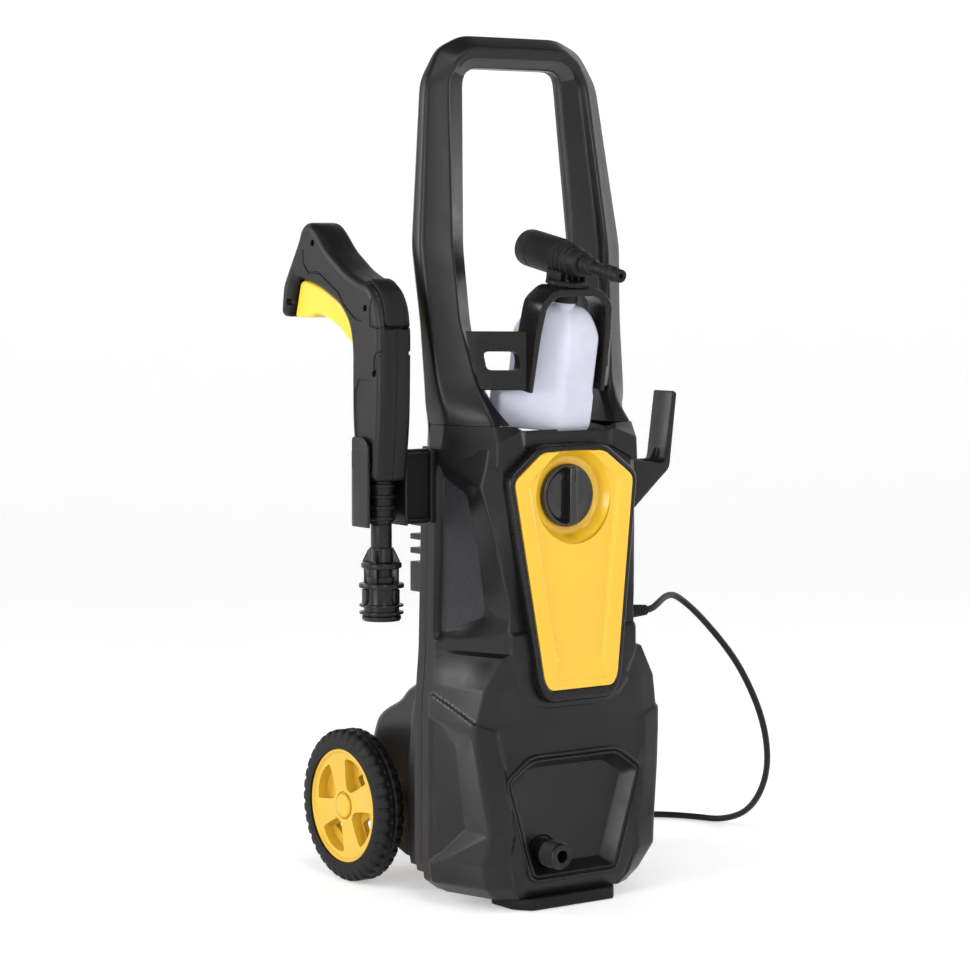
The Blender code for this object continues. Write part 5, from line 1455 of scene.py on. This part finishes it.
def plug():
    low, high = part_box("mains_plug")
    middle = (low + high) / 2
    length, stub, r = high.y - low.y, 0.0280, (high.z - low.z) / 2
    profile = [(0, 0.0), (0.0040, 0.0), (0.0042, stub - 0.001)]
    for k in range(5):                                     # ribs of the bend relief
        h = stub + 0.0005 + 0.0032 * k
        w = 0.0056 + 0.0008 * k
        profile += [(w, h), (w, h + 0.0018), (w - 0.0010, h + 0.0021), (w - 0.0010, h + 0.0030)]
    profile += [(0.0120, stub + 0.0185), (r - 0.0012, stub + 0.0225), (r - 0.0002, stub + 0.0245),
                (r - 0.0002, stub + 0.0440), (r - 0.0012, stub + 0.0485), (r - 0.0035, length - 0.0002),
                (0, length - 0.0001)]
    sleeve = lathe("mainsPlug", [(a, -b) for a, b in profile], (middle.x, high.y, middle.z), "Y", 48)
    made = [place(sleeve, "body", "cord_black", cordRubber, "mains_plug")]
    for number in (1, 2):
        a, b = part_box("plug_pin_%d" % number)
        size, pinHalf = b.y - a.y, 0.0024
        pinProfile = softProfile([(0, 0.0), (pinHalf, 0.0), (pinHalf, -size + 0.002),
                                  (pinHalf * 0.6, -size + 0.0002), (0, -size + 0.0001)], 0.0006, 3)
        pin = lathe("plugPin%d" % number, pinProfile, ((a.x + b.x) / 2, b.y, (a.z + b.z) / 2), "Y", 32)
        made.append(place(pin, "body", "steel", brushedSteel, "plug_pin_%d" % number))
    return made


smallFittings()
plugPieces = plug()
insideLooks = {castAlloy: ("pump_head", "pump_body"),
               innerPlastic: ("motor_housing", "motor_fan", "pressure_switch", "suction_pipe",
                              "rotary_switch"),
               brushedSteel: ("motor_rotor", "wobble_plate", "piston_1", "piston_2", "piston_3"),
               machinedBrass: ("gun_valve",), bottleMilky: ("dip_tube",)}
for look, nodes in insideLooks.items():
    for node in nodes:
        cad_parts[node].data.materials.clear()
        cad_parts[node].data.materials.append(look)
tieSettings = {"angles": (0.6, 2.7), "radius": 0.042, "half": 0.0150, "low": 0.0002, "high": 0.0280,
               "bandHalf": 0.004, "thick": 0.0006, "squeeze": 0.93}


def coilTies():                                            # two ties hold the coil
    s = tieSettings
    loop = roundCorners([(-s["half"], 0.0004), (s["half"], 0.0004), (s["half"], 0.0285),
                         (-s["half"], 0.0285)],
                        0.005, 5)
    loop = [(p[0], min(max(p[1], s["low"]), s["high"])) for p in loop]
    ties = []
    for number, angle in enumerate(s["angles"], 1):
        rings = []
        for out, wide in ((0.0, -1), (0.0, 1), (s["thick"], 1), (s["thick"], -1)):
            rings.append([Vector((s["radius"] + p[0] * s["squeeze"], wide * s["bandHalf"],
                                  max(p[1], s["low"])))
                          for p in offsetOutline(loop, out)])
        band = skin("coilTie%d" % number, rings, 35, closedLoop=True)
        spot = Matrix.Translation((*cordSettings["coilAt"], 0))
        band.data.transform(spot @ Matrix.Rotation(angle, 4, "Z"))
        ties.append(place(band, "body", "cord_black", cordRubber))
    return ties


coilTies()
print("fittings made")


# floor and light

sweepSettings = {"flat": 3.8, "bend": 1.6, "top": 5.0, "low": -0.0004, "sides": 96}


def sweepFloor():                                      # a pale floor that curves up into a wall all round
    s = sweepSettings
    profile = [(0, s["low"]), (1.0, s["low"]), (s["flat"], s["low"])]
    for k in range(1, 25):
        a = math.pi / 2 * k / 24
        profile.append((s["flat"] + s["bend"] * math.sin(a), s["low"] + s["bend"] * (1 - math.cos(a))))
    profile.append((s["flat"] + s["bend"], s["top"]))
    rings = [[(r * math.cos(2 * math.pi * k / s["sides"]), r * math.sin(2 * math.pi * k / s["sides"]), z)
              for k in range(s["sides"])] for r, z in profile]
    made = skin("floor", rings, 60, capStart=False, capEnd=False)
    made.data.flip_normals()
    return made


floor = sweepFloor()
floorLook = Nodes("paleFloor")
floorLook.fix({"Base Color": (0.86, 0.86, 0.865, 1), "Roughness": 0.9, "Specular IOR Level": 0.1,
               "Emission Color": (1, 1, 1, 1), "Emission Strength": 0.35})
floor.data.materials.append(floorLook.material)

world = bpy.data.worlds.new("studio")
scene.world = world
world.use_nodes = True
world.node_tree.nodes["Background"].inputs["Color"].default_value = (0.95, 0.96, 1.0, 1)
world.node_tree.nodes["Background"].inputs["Strength"].default_value = 0.13
scene.view_settings.view_transform = "Standard"


def softLight(name, at, aim, size, power, colour=(1, 1, 1)):
    data = bpy.data.lights.new(name, "AREA")
    data.shape = "RECTANGLE"
    data.size, data.size_y = size
    data.energy = power
    data.color = colour
    lamp = bpy.data.objects.new(name, data)
    scene.collection.objects.link(lamp)
    lamp.location = at
    lamp.rotation_euler = (Vector(aim) - Vector(at)).to_track_quat("-Z", "Y").to_euler()


softLight("keyLeft", (-2.9, -0.7, 0.9), (0, 0, 0.4), (0.5, 1.6), 30)
softLight("edgeLeft", (-2.2, 1.6, 1.2), (0, 0, 0.5), (0.4, 1.6), 26)
softLight("nearCamera", (-1.0, -3.0, 1.5), (0, 0, 0.5), (0.3, 1.6), 17)
softLight("edgeRight", (2.4, -0.4, 1.2), (0, 0, 0.5), (0.4, 1.6), 14)
softLight("top", (-0.6, -1.2, 2.7), (0, 0, 0.4), (1.4, 0.8), 17)
print("stage set")
